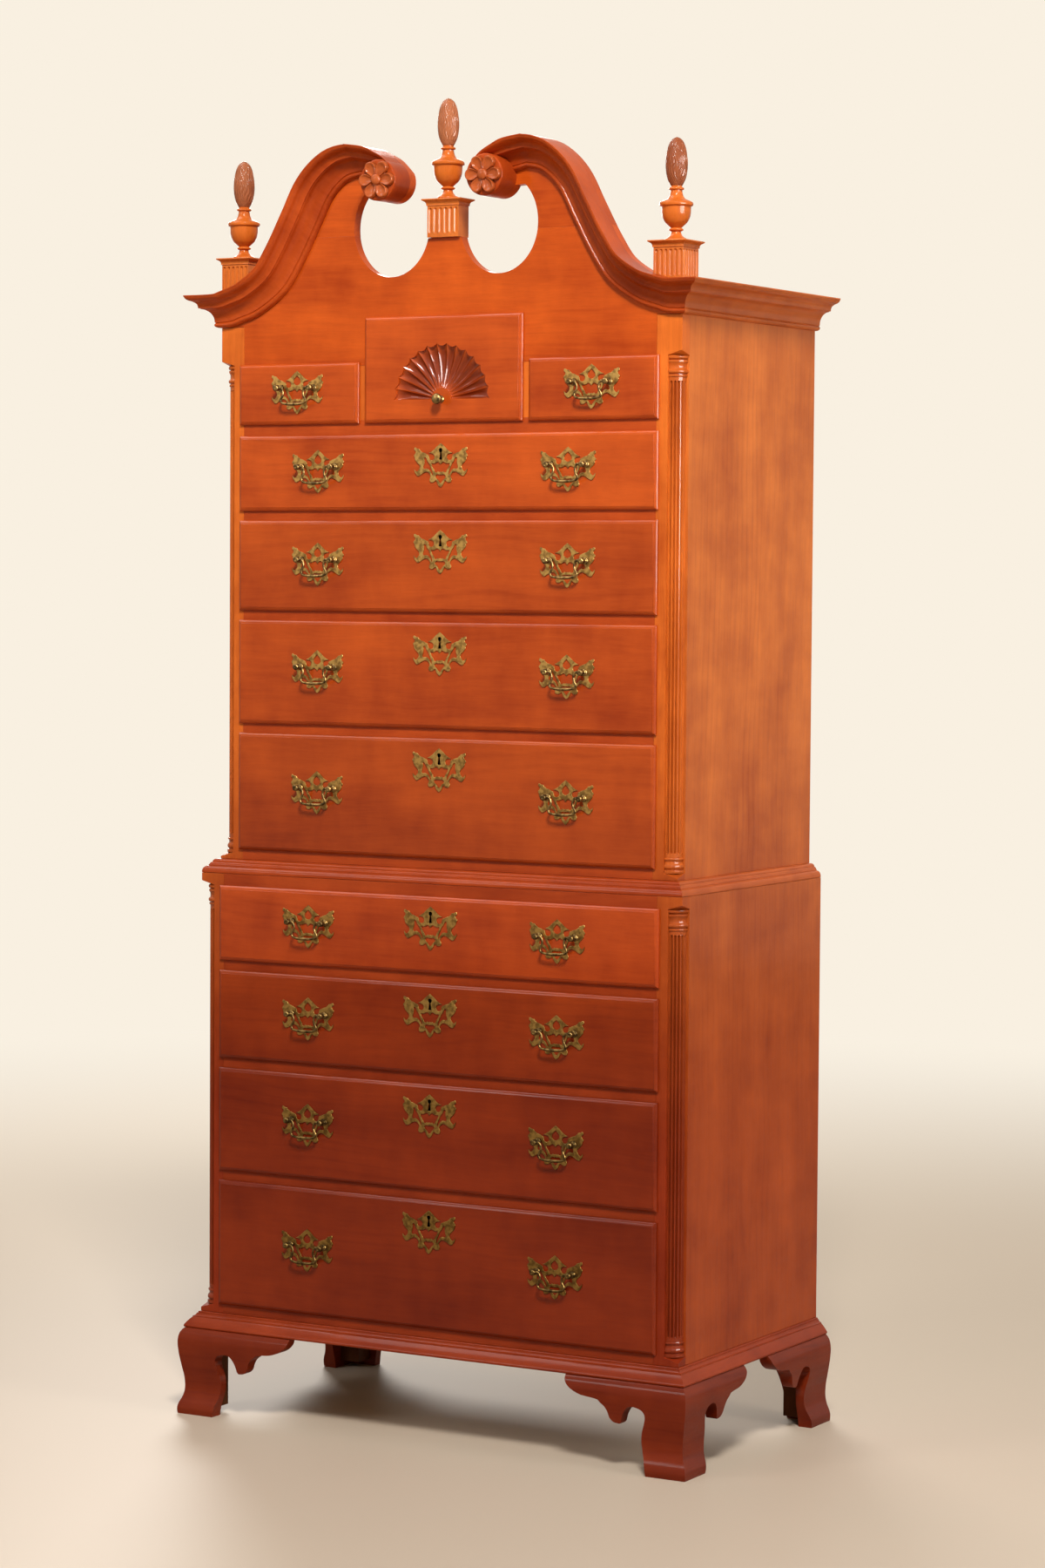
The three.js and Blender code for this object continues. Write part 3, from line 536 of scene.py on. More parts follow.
def new_group(name: str, inputs: dict[str, str], outputs: dict[str, str]) -> tuple[Sheet, dict, dict]:
    """Start a node group.

    Args:
        name: The group's name.
        inputs: Socket types by name.
        outputs: Socket types by name.

    Returns:
        The sheet to draw on, its input sockets by name, and the output node's inputs.
    """
    tree = bpy.data.node_groups.new(name, "ShaderNodeTree")
    for end, sockets in (("INPUT", inputs), ("OUTPUT", outputs)):
        for label, kind in sockets.items():
            tree.interface.new_socket(label, in_out=end, socket_type=f"NodeSocket{kind}")
    sheet = Sheet(tree)
    return sheet, sheet.add("NodeGroupInput").outputs, sheet.add("NodeGroupOutput").inputs


class Grain(Enum):
    """Which way the grain of a board runs, as the turn that brings it to X."""

    ALONG_X = (0.0, 0.0, 0.0)
    ALONG_Y = (0.0, 0.0, -math.pi / 2)
    ALONG_Z = (0.0, math.pi / 2, 0.0)
    ALONG_NECK = (0.0, math.radians(38), 0.0)
    ALONG_LEFT_NECK = (0.0, math.radians(-38), 0.0)


@dataclass(frozen=True)
class Tone:
    """A wood: its middle colour high up and low down, the low one painted darker as shade; its figure, gloss
    and slot.
    """

    high: Colour
    low: Colour
    figure: float
    gloss: float = 0.18
    slot: str = "cherry_mouldings"


class Wood(Enum):
    """The woods of the chest, named for where each one shows."""

    FRONT = Tone(srgb(187, 75, 19), srgb(124, 38, 8), 0.13, 0.26, "cherry_fronts")
    CASE = Tone(srgb(204, 106, 42), srgb(158, 64, 22), 0.12, slot="cherry_case")
    POST = Tone(srgb(210, 102, 32), srgb(132, 42, 14), 0.12)
    PLINTH = Tone(srgb(206, 108, 40), srgb(202, 102, 36), 0.08, 0.30, "cherry_case")
    FRIEZE = Tone(srgb(194, 79, 18), srgb(148, 53, 16), 0.20)
    MOULDING = Tone(srgb(178, 70, 21), srgb(134, 46, 15), 0.07)
    TRIM = Tone(srgb(204, 104, 46), srgb(154, 62, 24), 0.07)
    CARVED = Tone(srgb(200, 98, 32), srgb(130, 46, 17), 0.08, 0.22, "cherry_carving")
    FLAME = Tone(srgb(166, 96, 60), srgb(144, 82, 52), 0.08, 0.22, "cherry_carving")
    ROSETTE = Tone(srgb(172, 80, 34), srgb(150, 68, 28), 0.08, 0.26, "cherry_carving")
    FAN = Tone(srgb(186, 76, 21), srgb(130, 46, 17), 0.08, 0.50, "cherry_carving")
    FOOT = Tone(srgb(116, 38, 12), srgb(113, 36, 11), 0.16)
    BLOCK = Tone(srgb(88, 50, 26), srgb(82, 44, 22), 0.20, 0.0, "secondary_wood")
    POPLAR = Tone(srgb(206, 176, 128), srgb(188, 156, 108), 0.30, 0.0, "secondary_wood")


@dataclass(frozen=True)
class PaintedHollowShade:
    """Where carving is sunk into a piece. Its colour is painted darker there as shade.

    The depth is counted along Y, or towards an upright axis where one is given.
    """

    start: float
    deepest: float
    axis: Pair | None = None
    strength: float = 1.0

    def share(self, sheet: Sheet, place: Socket) -> Socket:
        """Measure how far down a place lies.

        Args:
            sheet: The material's sheet.
            place: The place on the piece.

        Returns:
            The share, from 0 to the strength.
        """
        if self.axis is None:
            depth = sheet.add("SeparateXYZ", {0: place}).outputs["Y"]
            return sheet.ranged(depth, self.start, self.deepest, 0.0, self.strength)
        right = sheet.vector("ABSOLUTE", place).outputs[0]
        away = sheet.vector("SUBTRACT", right, (*self.axis, 0.0)).outputs[0]
        flat = sheet.stretched(away, (1.0, 1.0, 0.0))
        radius = sheet.vector("LENGTH", flat).outputs["Value"]
        return sheet.ranged(radius, self.deepest, self.start, self.strength, 0.0)


class WoodFinish:
    """Satin-varnished wood, drawn through the board from its own grain, and painted darker lower down as
    shade.
    """

    GROUP = "wood_grain"
    DEEP = (0.64, 0.50, 0.44, 1.0)
    PALE = (1.22, 1.36, 1.46, 1.0)
    PORE = (0.62, 0.55, 0.5, 1.0)
    WAX = (0.42, 0.32, 0.26, 1.0)
    SHEEN = 0.04
    VARNISH_ROUGHNESS = 0.10

    def __init__(self) -> None:
        """Draw the grain once for every wood."""
        self.group = self.draw_grain()
        self.made: dict[str, bpy.types.Material] = {}

    def draw_grain(self) -> bpy.types.NodeTree:
        """Draw growth rings, streaks and pores over coordinates that have the grain along X."""
        sheet, given, out = new_group(
            self.GROUP,
            {"Board": "Vector", "Place": "Vector", "High": "Color", "Low": "Color", "Figure": "Float"},
            {"Color": "Color", "Roughness": "Float", "Height": "Float"},
        )
        along = given["Board"]
        long_waves = sheet.stretched(along, (0.5, 1.0, 1.0))
        warp = sheet.add("TexNoise", {"Vector": long_waves, "Scale": 5.0, "Detail": 2.0})
        bent = sheet.vector("SUBTRACT", warp.outputs["Color"], (0.5, 0.5, 0.5)).outputs[0]
        bent = sheet.stretched(bent, (0.0, 0.05, 0.05))
        rings_at = sheet.vector("ADD", along, bent).outputs[0]
        rings = sheet.add(
            "TexWave",
            {"Vector": sheet.stretched(rings_at, (0.045, 1.0, 1.0)), "Scale": 17.0, "Distortion": 2.6,
             "Detail": 3.0, "Detail Scale": 1.5},
            wave_type="RINGS", rings_direction="X", wave_profile="SIN",
        ).outputs["Fac"]
        late_wood = sheet.ranged(rings, 0.66, 1.0, 0.0, 1.0, soft=True)
        clouds = sheet.noise(sheet.stretched(along, (1.7, 9.0, 9.0)), 1.0, 2.0)
        fading = sheet.ranged(clouds, 0.40, 0.64, 0.1, 1.0)
        figure = sheet.maths("MULTIPLY", sheet.maths("MULTIPLY", late_wood, fading), given["Figure"])
        broad = sheet.noise(sheet.stretched(along, (1.5, 5.5, 5.5)), 1.6, 3.0)
        ripple = sheet.noise(sheet.stretched(rings_at, (17.0, 10.0, 10.0)), 1.0, 3.0)
        streaks = sheet.noise(sheet.stretched(rings_at, (8.0, 120.0, 120.0)), 1.0, 3.0)
        fibres = sheet.noise(sheet.stretched(along, (26.0, 430.0, 430.0)), 1.0, 2.0)
        pores = sheet.ranged(
            sheet.noise(sheet.stretched(along, (70.0, 2400.0, 2400.0)), 1.0, 1.0), 0.62, 0.74, 0.0, 1.0,
        )
        total = 0.5
        for value, weight in ((broad, 1.55), (ripple, 0.80), (streaks, 0.40), (fibres, 0.30)):
            total = sheet.maths("MULTIPLY_ADD", sheet.maths("SUBTRACT", value, 0.5), weight, total)
        share = sheet.maths("SUBTRACT", total, figure, clamp=True)
        # Each wood is painted darker lower down, from its high colour to its low one: painted shade.
        height = sheet.add("SeparateXYZ", {0: given["Place"]}).outputs["Z"]
        rise = sheet.ranged(height, 0.5, 1.45, 0.0, 1.0, soft=True)
        middle = sheet.mixed(rise, given["Low"], given["High"])
        deep, pale = sheet.tinted(middle, self.DEEP), sheet.tinted(middle, self.PALE)
        colour = sheet.mixed(share, deep, pale)
        flecked = sheet.tinted(colour, self.PORE)
        fleck_share = sheet.maths("MULTIPLY", pores, 0.35)
        links = sheet.tree.links
        links.new(sheet.mixed(fleck_share, colour, flecked), out["Color"])
        links.new(sheet.ranged(streaks, 0.3, 0.7, 0.32, 0.44), out["Roughness"])
        links.new(sheet.maths("SUBTRACT", sheet.maths("MULTIPLY", fibres, 0.5), pores), out["Height"])
        return sheet.tree

    def material(self, wood: Wood, grain: Grain, heart: Vector, seed: int,
                 hollow: PaintedHollowShade | None = None, light: float = 1.0) -> bpy.types.Material:
        """Cut one board's material out of the wood.

        Args:
            wood: Which wood.
            grain: Which way its grain runs.
            heart: The middle of the board.
            seed: A number that gives this board a part of the tree of its own.
            hollow: Where its carving is sunk and its colour is painted darker as shade.
            light: How much lighter or darker its colour is painted than its neighbours', as painted light.

        Returns:
            The material.
        """
        name = f"{wood.name.lower()}_{grain.name.lower()}_{seed}"
        if name in self.made:
            return self.made[name]
        material, sheet, shader = blank_material(name)
        place = sheet.add("TexCoord").outputs["Object"]
        turn = Matrix.Rotation(grain.value[2], 3, "Z") @ Matrix.Rotation(grain.value[1], 3, "Y")
        tilt = (0.0, 0.018 * math.sin(seed * 1.7), 0.035 * math.cos(seed * 2.3))
        angles = tuple(angle + lean for angle, lean in zip(grain.value, tilt))
        away = Vector((seed * 3.17 % 40, 0.035 + 0.05 * math.sin(seed), 0.075 * math.cos(seed * 1.3)))
        shift = away - turn @ heart
        mapping = {"Vector": place, "Location": shift, "Rotation": angles}
        mapped = sheet.add("Mapping", mapping, vector_type="POINT").outputs[0]
        tone = wood.value
        high, low = ((*(level * light for level in colour[:3]), 1.0) for colour in (tone.high, tone.low))
        inputs = {"Board": mapped, "Place": place, "High": high, "Low": low, "Figure": tone.figure}
        group = sheet.add("Group", inputs, node_tree=self.group)
        bump = sheet.add("Bump", {"Strength": 0.22, "Distance": 0.0004, "Height": group.outputs["Height"]})
        links = sheet.tree.links
        colour = group.outputs["Color"]
        # Sunk carving is painted darker here, as shade.
        if hollow:
            hollow_shaded = sheet.tinted(colour, self.WAX)
            colour = sheet.mixed(hollow.share(sheet, place), colour, hollow_shaded)
        links.new(colour, shader.inputs["Base Color"])
        links.new(group.outputs["Roughness"], shader.inputs["Roughness"])
        links.new(bump.outputs[0], shader.inputs["Normal"])
        shader.inputs["Specular IOR Level"].default_value = self.SHEEN
        shader.inputs["Coat Weight"].default_value = tone.gloss
        shader.inputs["Coat Roughness"].default_value = self.VARNISH_ROUGHNESS
        self.made[name] = material
        return material


@dataclass(frozen=True)
class BrassFinish:
    """Old brass, brighter where it was handled and brown where it was not, and painted darker lower down as
    shade.
    """

    bright: Colour = srgb(178, 140, 78)
    brown: Colour = srgb(120, 90, 48)
    patch: float = 120.0
    grit: float = 900.0
    low_tint: Colour = (0.50, 0.48, 0.42, 1.0)

    def material(self, name: str) -> bpy.types.Material:
        """Make the material."""
        material, sheet, shader = blank_material(name)
        place = sheet.add("TexCoord").outputs["Object"]
        patches = sheet.noise(place, self.patch, 4.0)
        grit = sheet.noise(place, self.grit, 2.0)
        worn = sheet.ranged(patches, 0.36, 0.62, 0.0, 1.0, soft=True)
        # Brass lower on the chest is painted darker, as shade.
        rise = sheet.ranged(sheet.add("SeparateXYZ", {0: place}).outputs["Z"], 0.45, 1.40, 0.0, 1.0)
        colour = sheet.mixed(worn, self.brown, self.bright)
        colour = sheet.mixed(rise, sheet.tinted(colour, self.low_tint), colour)
        bump = sheet.add("Bump", {"Strength": 0.10, "Distance": 0.0002, "Height": grit})
        links = sheet.tree.links
        links.new(colour, shader.inputs["Base Color"])
        links.new(sheet.ranged(patches, 0.3, 0.7, 0.44, 0.32), shader.inputs["Roughness"])
        links.new(bump.outputs[0], shader.inputs["Normal"])
        shader.inputs["Metallic"].default_value = 1.0
        return material


class Workshop:
    """The finishes, and the last step of every piece: dressing it and giving it its place."""

    def __init__(self) -> None:
        """Make the finishes."""
        self.wood = WoodFinish()
        self.brass = BrassFinish().material("old_brass")
        self.dark_brass = BrassFinish(srgb(134, 108, 66), srgb(62, 48, 28)).material("dark_brass")
        self.lock_metal = BrassFinish(srgb(44, 34, 22), srgb(22, 16, 10)).material("lock_metal")
        self.count = 0

    def wooden(self, piece: Piece, wood: Wood, grain: Grain, body: str = CASE, shade: float | None = 32,
               hollow: PaintedHollowShade | None = None, light: float = 1.0) -> Piece:
        """Finish a piece in wood.

        Args:
            piece: The piece.
            wood: Which wood.
            grain: Which way its grain runs.
            body: The body that it moves with.
            shade: The angle in degrees past which its edges stay sharp, or None for flat faces.
            hollow: Where its carving is sunk and its colour is painted darker as shade.
            light: How much lighter or darker its colour is painted than its neighbours', as painted light.

        Returns:
            The piece.
        """
        if shade is not None:
            softly_shaded(piece, shade)
            shaped(piece, "WEIGHTED_NORMAL", keep_sharp=True)
        corners = [Vector(corner) for corner in piece.bound_box]
        heart = (corners[0] + corners[6]) / 2
        seed = sum(ord(letter) * (place + 1) for place, letter in enumerate(piece.name)) % 997
        piece.data.materials.clear()
        piece.data.materials.append(self.wood.material(wood, grain, heart, seed, hollow, light))
        return self.settled(piece, body)

    def both_sides(self, right: Piece, wood: Wood, grain: Grain, node: str = "", **finish: object) -> None:
        """Finish a right piece and its mirror image in wood.

        Args:
            right: The right piece.
            wood: Which wood.
            grain: Which way its grain runs.
            node: The name without its side of the two nodes that they stand for, if any.
            finish: What else `wooden` is told.
        """
        for piece, side in ((right, "right"), (mirrored(right), "left")):
            self.wooden(piece, wood, grain, **finish)
            if node:
                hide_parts(f"{node}_{side}")

    def brazen(self, piece: Piece, body: str, dark: bool = False, shade: float = 38) -> Piece:
        """Finish a piece in brass.

        Args:
            piece: The piece.
            body: The body that it moves with.
            dark: Whether hands darkened it.
            shade: The angle in degrees past which its edges stay sharp.

        Returns:
            The piece.
        """
        softly_shaded(piece, shade)
        piece.data.materials.clear()
        piece.data.materials.append(self.dark_brass if dark else self.brass)
        return self.settled(piece, body)

    def locked(self, piece: Piece, body: str) -> Piece:
        """Finish a lock, which only shows through its keyhole."""
        piece.data.materials.clear()
        piece.data.materials.append(self.lock_metal)
        return self.settled(piece, body)

    def settled(self, piece: Piece, body: str) -> Piece:
        """Let a piece ride on its body and report it.

        Args:
            piece: The finished piece.
            body: The body.

        Returns:
            The piece.
        """
        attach(piece, body)
        self.count += 1
        log.info("%s rides on %s with %d faces", piece.name, body, len(piece.data.polygons))
        return piece


@dataclass(frozen=True)
class CaseSize:
    """One of the two cases, as its frame nodes give it."""

    name: str
    half: float
    front: float
    back: float
    floor: float
    top: float

    @classmethod
    def of(cls, name: str) -> "CaseSize":
        """Read a case's size from its right side, its face frame and its back."""
        side_low, side_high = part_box(f"{name}_side_right")
        frame_low, frame_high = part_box(f"{name}_frame")
        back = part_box(f"{name}_back")[1].y
        return cls(name, side_high.x, frame_low.y, back, side_low.z, frame_high.z)


# Case work


@dataclass
class Assembly:
    """A sub-assembly of the chest, with the finishes that dress its pieces."""

    shop: Workshop


@dataclass
class FaceFrame(Assembly):
    """The stiles, rails and notched corner posts on the front of one case."""

    case: CaseSize
    drawers: tuple[str, ...]
    top_rail_top: float
    corner: float = 0.027
    stile: float = 0.021
    thickness: float = 0.022
    facet: float = 0.0075
    gap: float = 0.0001

    def build(self) -> None:
        """Build the posts and the rails."""
        low_z, high_z = self.notch_levels()
        post = self.post(low_z, high_z)
        self.shop.both_sides(post, Wood.POST, Grain.ALONG_Z)
        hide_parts(f"{self.case.name}_frame")
        for index, (floor, top) in enumerate(self.rail_levels()):
            inner = self.case.half - self.corner - self.stile - self.gap
            front = self.case.front
            rail = board(
                f"{self.case.name}_rail_{index + 1}",
                (-inner, front, floor), (inner, front + self.thickness, top), 0.0004,
            )
            self.shop.wooden(rail, Wood.MOULDING, Grain.ALONG_X)

    def notch_levels(self) -> Pair:
        """Give the heights between which the post is notched for the column."""
        low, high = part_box(f"{self.case.name}_column_right")
        return low.z, high.z

    def rail_levels(self) -> list[Pair]:
        """Give the floor and the top of each rail, from the lowest rail up."""
        boxes = [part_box(name) for name in self.drawers]
        floors = [self.case.floor] + [high.z - LIP_OVERLAP for _, high in boxes]
        tops = [low.z + LIP_OVERLAP for low, _ in boxes] + [self.top_rail_top]
        return list(zip(floors, tops))

    def post(self, low_z: float, high_z: float) -> Piece:
        """Make the right post, an angle in plan with a notch that ends in slanted facets.

        Args:
            low_z: Where the notch begins.
            high_z: Where it ends.

        Returns:
            The post.
        """
        half, front = self.case.half, self.case.front
        inner, notch_x = half - self.corner - self.stile, half - self.corner
        notch_y = front + self.corner
        plan = [
            (inner, front), (half, front), (half, notch_y), (notch_x, notch_y),
            (notch_x, front + self.thickness), (inner, front + self.thickness),
        ]
        floor, top = self.case.floor, self.case.top
        name = f"{self.case.name}_post_right"
        post = loft(name, [[Vector((x, y, z)) for x, y in plan] for z in (floor, top)])
        far_x, far_y = half + OVERRUN, front - OVERRUN
        corners = [(notch_x, far_y), (far_x, far_y), (far_x, notch_y + OVERRUN), (notch_x, notch_y + OVERRUN)]

        def facet(x: float, y: float) -> float:
            """Give how far the slanted end stands past the notch at one place."""
            return self.facet * ((x - notch_x + notch_y - y) / self.corner - 1)

        cutter = loft("notch", [
            [Vector((x, y, low_z - facet(x, y))) for x, y in corners],
            [Vector((x, y, high_z + facet(x, y))) for x, y in corners],
        ])
        return eased(cut(post, cutter), 0.0005)


@dataclass
class TopRowDividers(Assembly):
    """The two short dividers and the shelf that carry the top row of drawers."""

    case: CaseSize
    thickness: float = 0.022
    shelf_thickness: float = 0.019
    guide_height: float = 0.015
    clearance: float = 0.0205

    def build(self) -> None:
        """Build both dividers, their guides and the shelf."""
        fan_low, fan_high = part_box("drawer_fan")
        small_low, small_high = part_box("drawer_small_right")
        floor, top = fan_low.z + LIP_OVERLAP, small_high.z - LIP_OVERLAP
        inner, outer = fan_high.x - LIP_OVERLAP, small_low.x + LIP_OVERLAP
        front, back = self.case.front, fan_high.y
        divider = board(
            "divider_right", (inner, front, floor), (outer, front + self.thickness, top), 0.0004,
        )
        guide = board(
            "guide_right", (inner, front + self.thickness, floor), (outer, back, floor + self.guide_height),
        )
        self.shop.both_sides(divider, Wood.POST, Grain.ALONG_Z)
        self.shop.both_sides(guide, Wood.POPLAR, Grain.ALONG_Y)
        shelf_half = self.case.half - self.clearance
        shelf = board(
            "top_row_shelf", (-shelf_half, front + self.thickness * 3, floor - self.shelf_thickness),
            (shelf_half, back, floor - WELD),
        )
        self.shop.wooden(shelf, Wood.POPLAR, Grain.ALONG_X)


@dataclass
class QuarterColumn(Assembly):
    """A fluted quarter column with a turned cap and base, standing in the notch of a corner post."""

    case: CaseSize
    shaft: float = 0.0218
    flutes: int = 5
    flute_depth: float = 0.0034
    margin: float = math.radians(4)
    land: float = math.radians(4)
    cap_height: float = 0.0405
    base_height: float = 0.0305
    run_in: float = 0.0025
    # How much darker the flutes are painted, as shade.
    wax: float = 0.55

    def build(self) -> None:
        """Build the right column and mirror it."""
        name = f"{self.case.name}_column_right"
        low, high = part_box(name)
        rings = [self.ring(low.x, high.y, *level) for level in self.levels(low.z, high.z)]
        column = loft(f"fluted_{name}", rings)
        bed = self.shaft - self.flute_depth
        hollow = PaintedHollowShade(bed + self.flute_depth * 0.8, bed, axis=(low.x, abs(high.y)), strength=self.wax)
        node = f"{self.case.name}_column"
        self.shop.both_sides(column, Wood.CARVED, Grain.ALONG_Z, node, shade=30, hollow=hollow)

    def levels(self, low: float, high: float) -> list[tuple[float, float, float]]:
        """Give the rings of the column, from its base to its cap.

        Args:
            low: The height of its foot.
            high: The height of its head.

        Returns:
            The height, the radius and the flutes' swell at each ring.
        """
        base = drawn([
            [(0.0250, 0)], [(0.0252, 0.0025), (0.0250, 0.005)], [(0.0222, 0.0056)], [(0.0222, 0.0068)],
            [(0.0243, 0.0085), (0.0250, 0.0115), (0.0238, 0.0148), (0.0219, 0.0168)],
            [(0.0214, 0.0195), (0.0221, 0.0222)], [(0.0236, 0.0226)],
            [(0.0240, 0.0242), (0.0234, 0.0258)], [(0.0218, 0.0264)], [(0.0218, self.base_height)],
        ])
        cap = drawn([
            [(0.0232, 0)], [(0.0249, 0.0018), (0.0252, 0.0036), (0.0244, 0.0058), (0.0222, 0.0068)],
            [(0.0217, 0.0082)], [(0.0244, 0.0086)], [(0.0244, 0.0116)],
            [(0.0228, 0.0142), (0.0216, 0.0185), (0.0222, 0.0228), (0.0238, 0.0246)],
            [(0.0251, 0.0262), (0.0251, 0.0288), (0.0236, 0.0308)], [(0.0217, 0.0312)], [(0.0217, 0.0326)],
            [(0.0234, 0.0331), (0.0238, 0.0348), (0.0232, 0.0364)], [(0.0218, 0.0368)],
            [(0.0218, self.cap_height)],
        ])
        pitch = (math.pi / 2 - 2 * self.margin + self.land) / self.flutes
        end_radius = (pitch - self.land) / 2 * self.shaft
        flutes = flute_levels(
            low + self.base_height + self.run_in, high - self.cap_height - self.run_in, end_radius,
        )
        return (
            [(low + rise, radius, 0.0) for radius, rise in base]
            + [(z, self.shaft, swell) for z, swell in flutes]
            + [(high - drop, radius, 0.0) for radius, drop in reversed(cap)]
        )

    def ring(self, x: float, y: float, z: float, radius: float, swell: float) -> Ring:
        """Give the ring around the inner corner of the notch at one height.

        Args:
            x: The corner's place across the chest.
            y: Its place from front to back.
            z: The height.
            radius: The column's radius there.
            swell: The flutes' swell there.

        Returns:
            The ring.
        """
        end = math.pi / 2 - self.margin
        stations = [(0.0, 0.0), *fluted(self.margin, end, self.flutes, self.land, swell), (math.pi / 2, 0.0)]
        ring = [Vector((x, y, z))]
        for angle, depth in stations:
            reach = radius - depth * self.flute_depth
            ring.append(Vector((x + reach * math.sin(angle), y - reach * math.cos(angle), z)))
        return ring


@dataclass
class RunningMoulding(Assembly):
    """A moulding along the front and both sides of a case, mitred at its corners."""

    name: str
    node: str
    half: float
    front: float
    back: float
    profile: list[Pair]
    floor: float
    with_front: bool = True
    side_wood: Wood = Wood.MOULDING

    def build(self) -> None:
        """Build the strips, each from its own board."""
        right = self.strip(f"{self.name}_right", (1, 1), (1, 0))
        self.shop.both_sides(right, self.side_wood, Grain.ALONG_Y)
        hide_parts(self.node)
        if self.with_front:
            front = self.strip(f"{self.name}_front", (-1, 1), (1, 1))
            self.shop.wooden(front, Wood.MOULDING, Grain.ALONG_X)

    def strip(self, name: str, start: tuple[int, int], end: tuple[int, int]) -> Piece:
        """Make one strip between two ends.

        Args:
            name: The strip's name.
            start: The side, -1 or 1, and 1 at the mitred front corner or 0 at the back.
            end: The same for the other end.

        Returns:
            The strip.
        """
        def station(side: int, at_front: int) -> Ring:
            """Place the section at one end."""
            ring = []
            for reach, rise in self.profile:
                y = self.front - reach if at_front else self.back
                ring.append(Vector((side * (self.half + reach), y, self.floor + rise)))
            return ring
        return loft(name, [station(*start), station(*end)])


@dataclass
class CaseBoards(Assembly):
    """Flat boards that close the cases: backs, the top, and the boards inside the mouldings."""

    upper: CaseSize
    lower: CaseSize
    back_boards: int = 5
    back_groove: float = 0.0012
    inset: float = 0.012

    def build(self) -> None:
        """Build all of them."""
        for case in (self.upper, self.lower):
            self.build_back(case)
        self.build_core("base_moulding", self.lower, "base_board")
        self.build_core("waist_moulding", self.upper, "waist_board")
        top_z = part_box("upper_top")[1].z
        half, thickness = self.upper.half, 0.018
        front = self.upper.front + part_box("scroll_board")[1].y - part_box("scroll_board")[0].y
        top = board("top_board", (-half, front, top_z - thickness), (half, self.upper.back, top_z))
        self.shop.wooden(top, Wood.TRIM, Grain.ALONG_X)

    def build_back(self, case: CaseSize) -> None:
        """Build one back out of upright boards.

        Args:
            case: The case that it closes.
        """
        node = f"{case.name}_back"
        low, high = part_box(node)
        step = (high.x - low.x) / self.back_boards
        for index in range(self.back_boards):
            start = low.x + index * step
            piece = board(
                f"{node}_board_{index + 1}",
                (start, low.y, low.z), (start + step - self.back_groove, high.y, high.z), 0.0009,
            )
            self.shop.wooden(piece, Wood.POPLAR, Grain.ALONG_Z)
            if index == 0:
                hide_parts(node)

    def build_core(self, node: str, case: CaseSize, name: str) -> None:
        """Build the board that a running moulding surrounds.

        Args:
            node: The moulding's node.
            case: The case that it stands under or over.
            name: The board's name.
        """
        low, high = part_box(node)
        half = case.half - self.inset
        core = board(name, (-half, case.front + self.inset, low.z + WELD), (half, case.back, high.z - WELD))
        self.shop.wooden(core, Wood.POPLAR, Grain.ALONG_X)


# Pediment


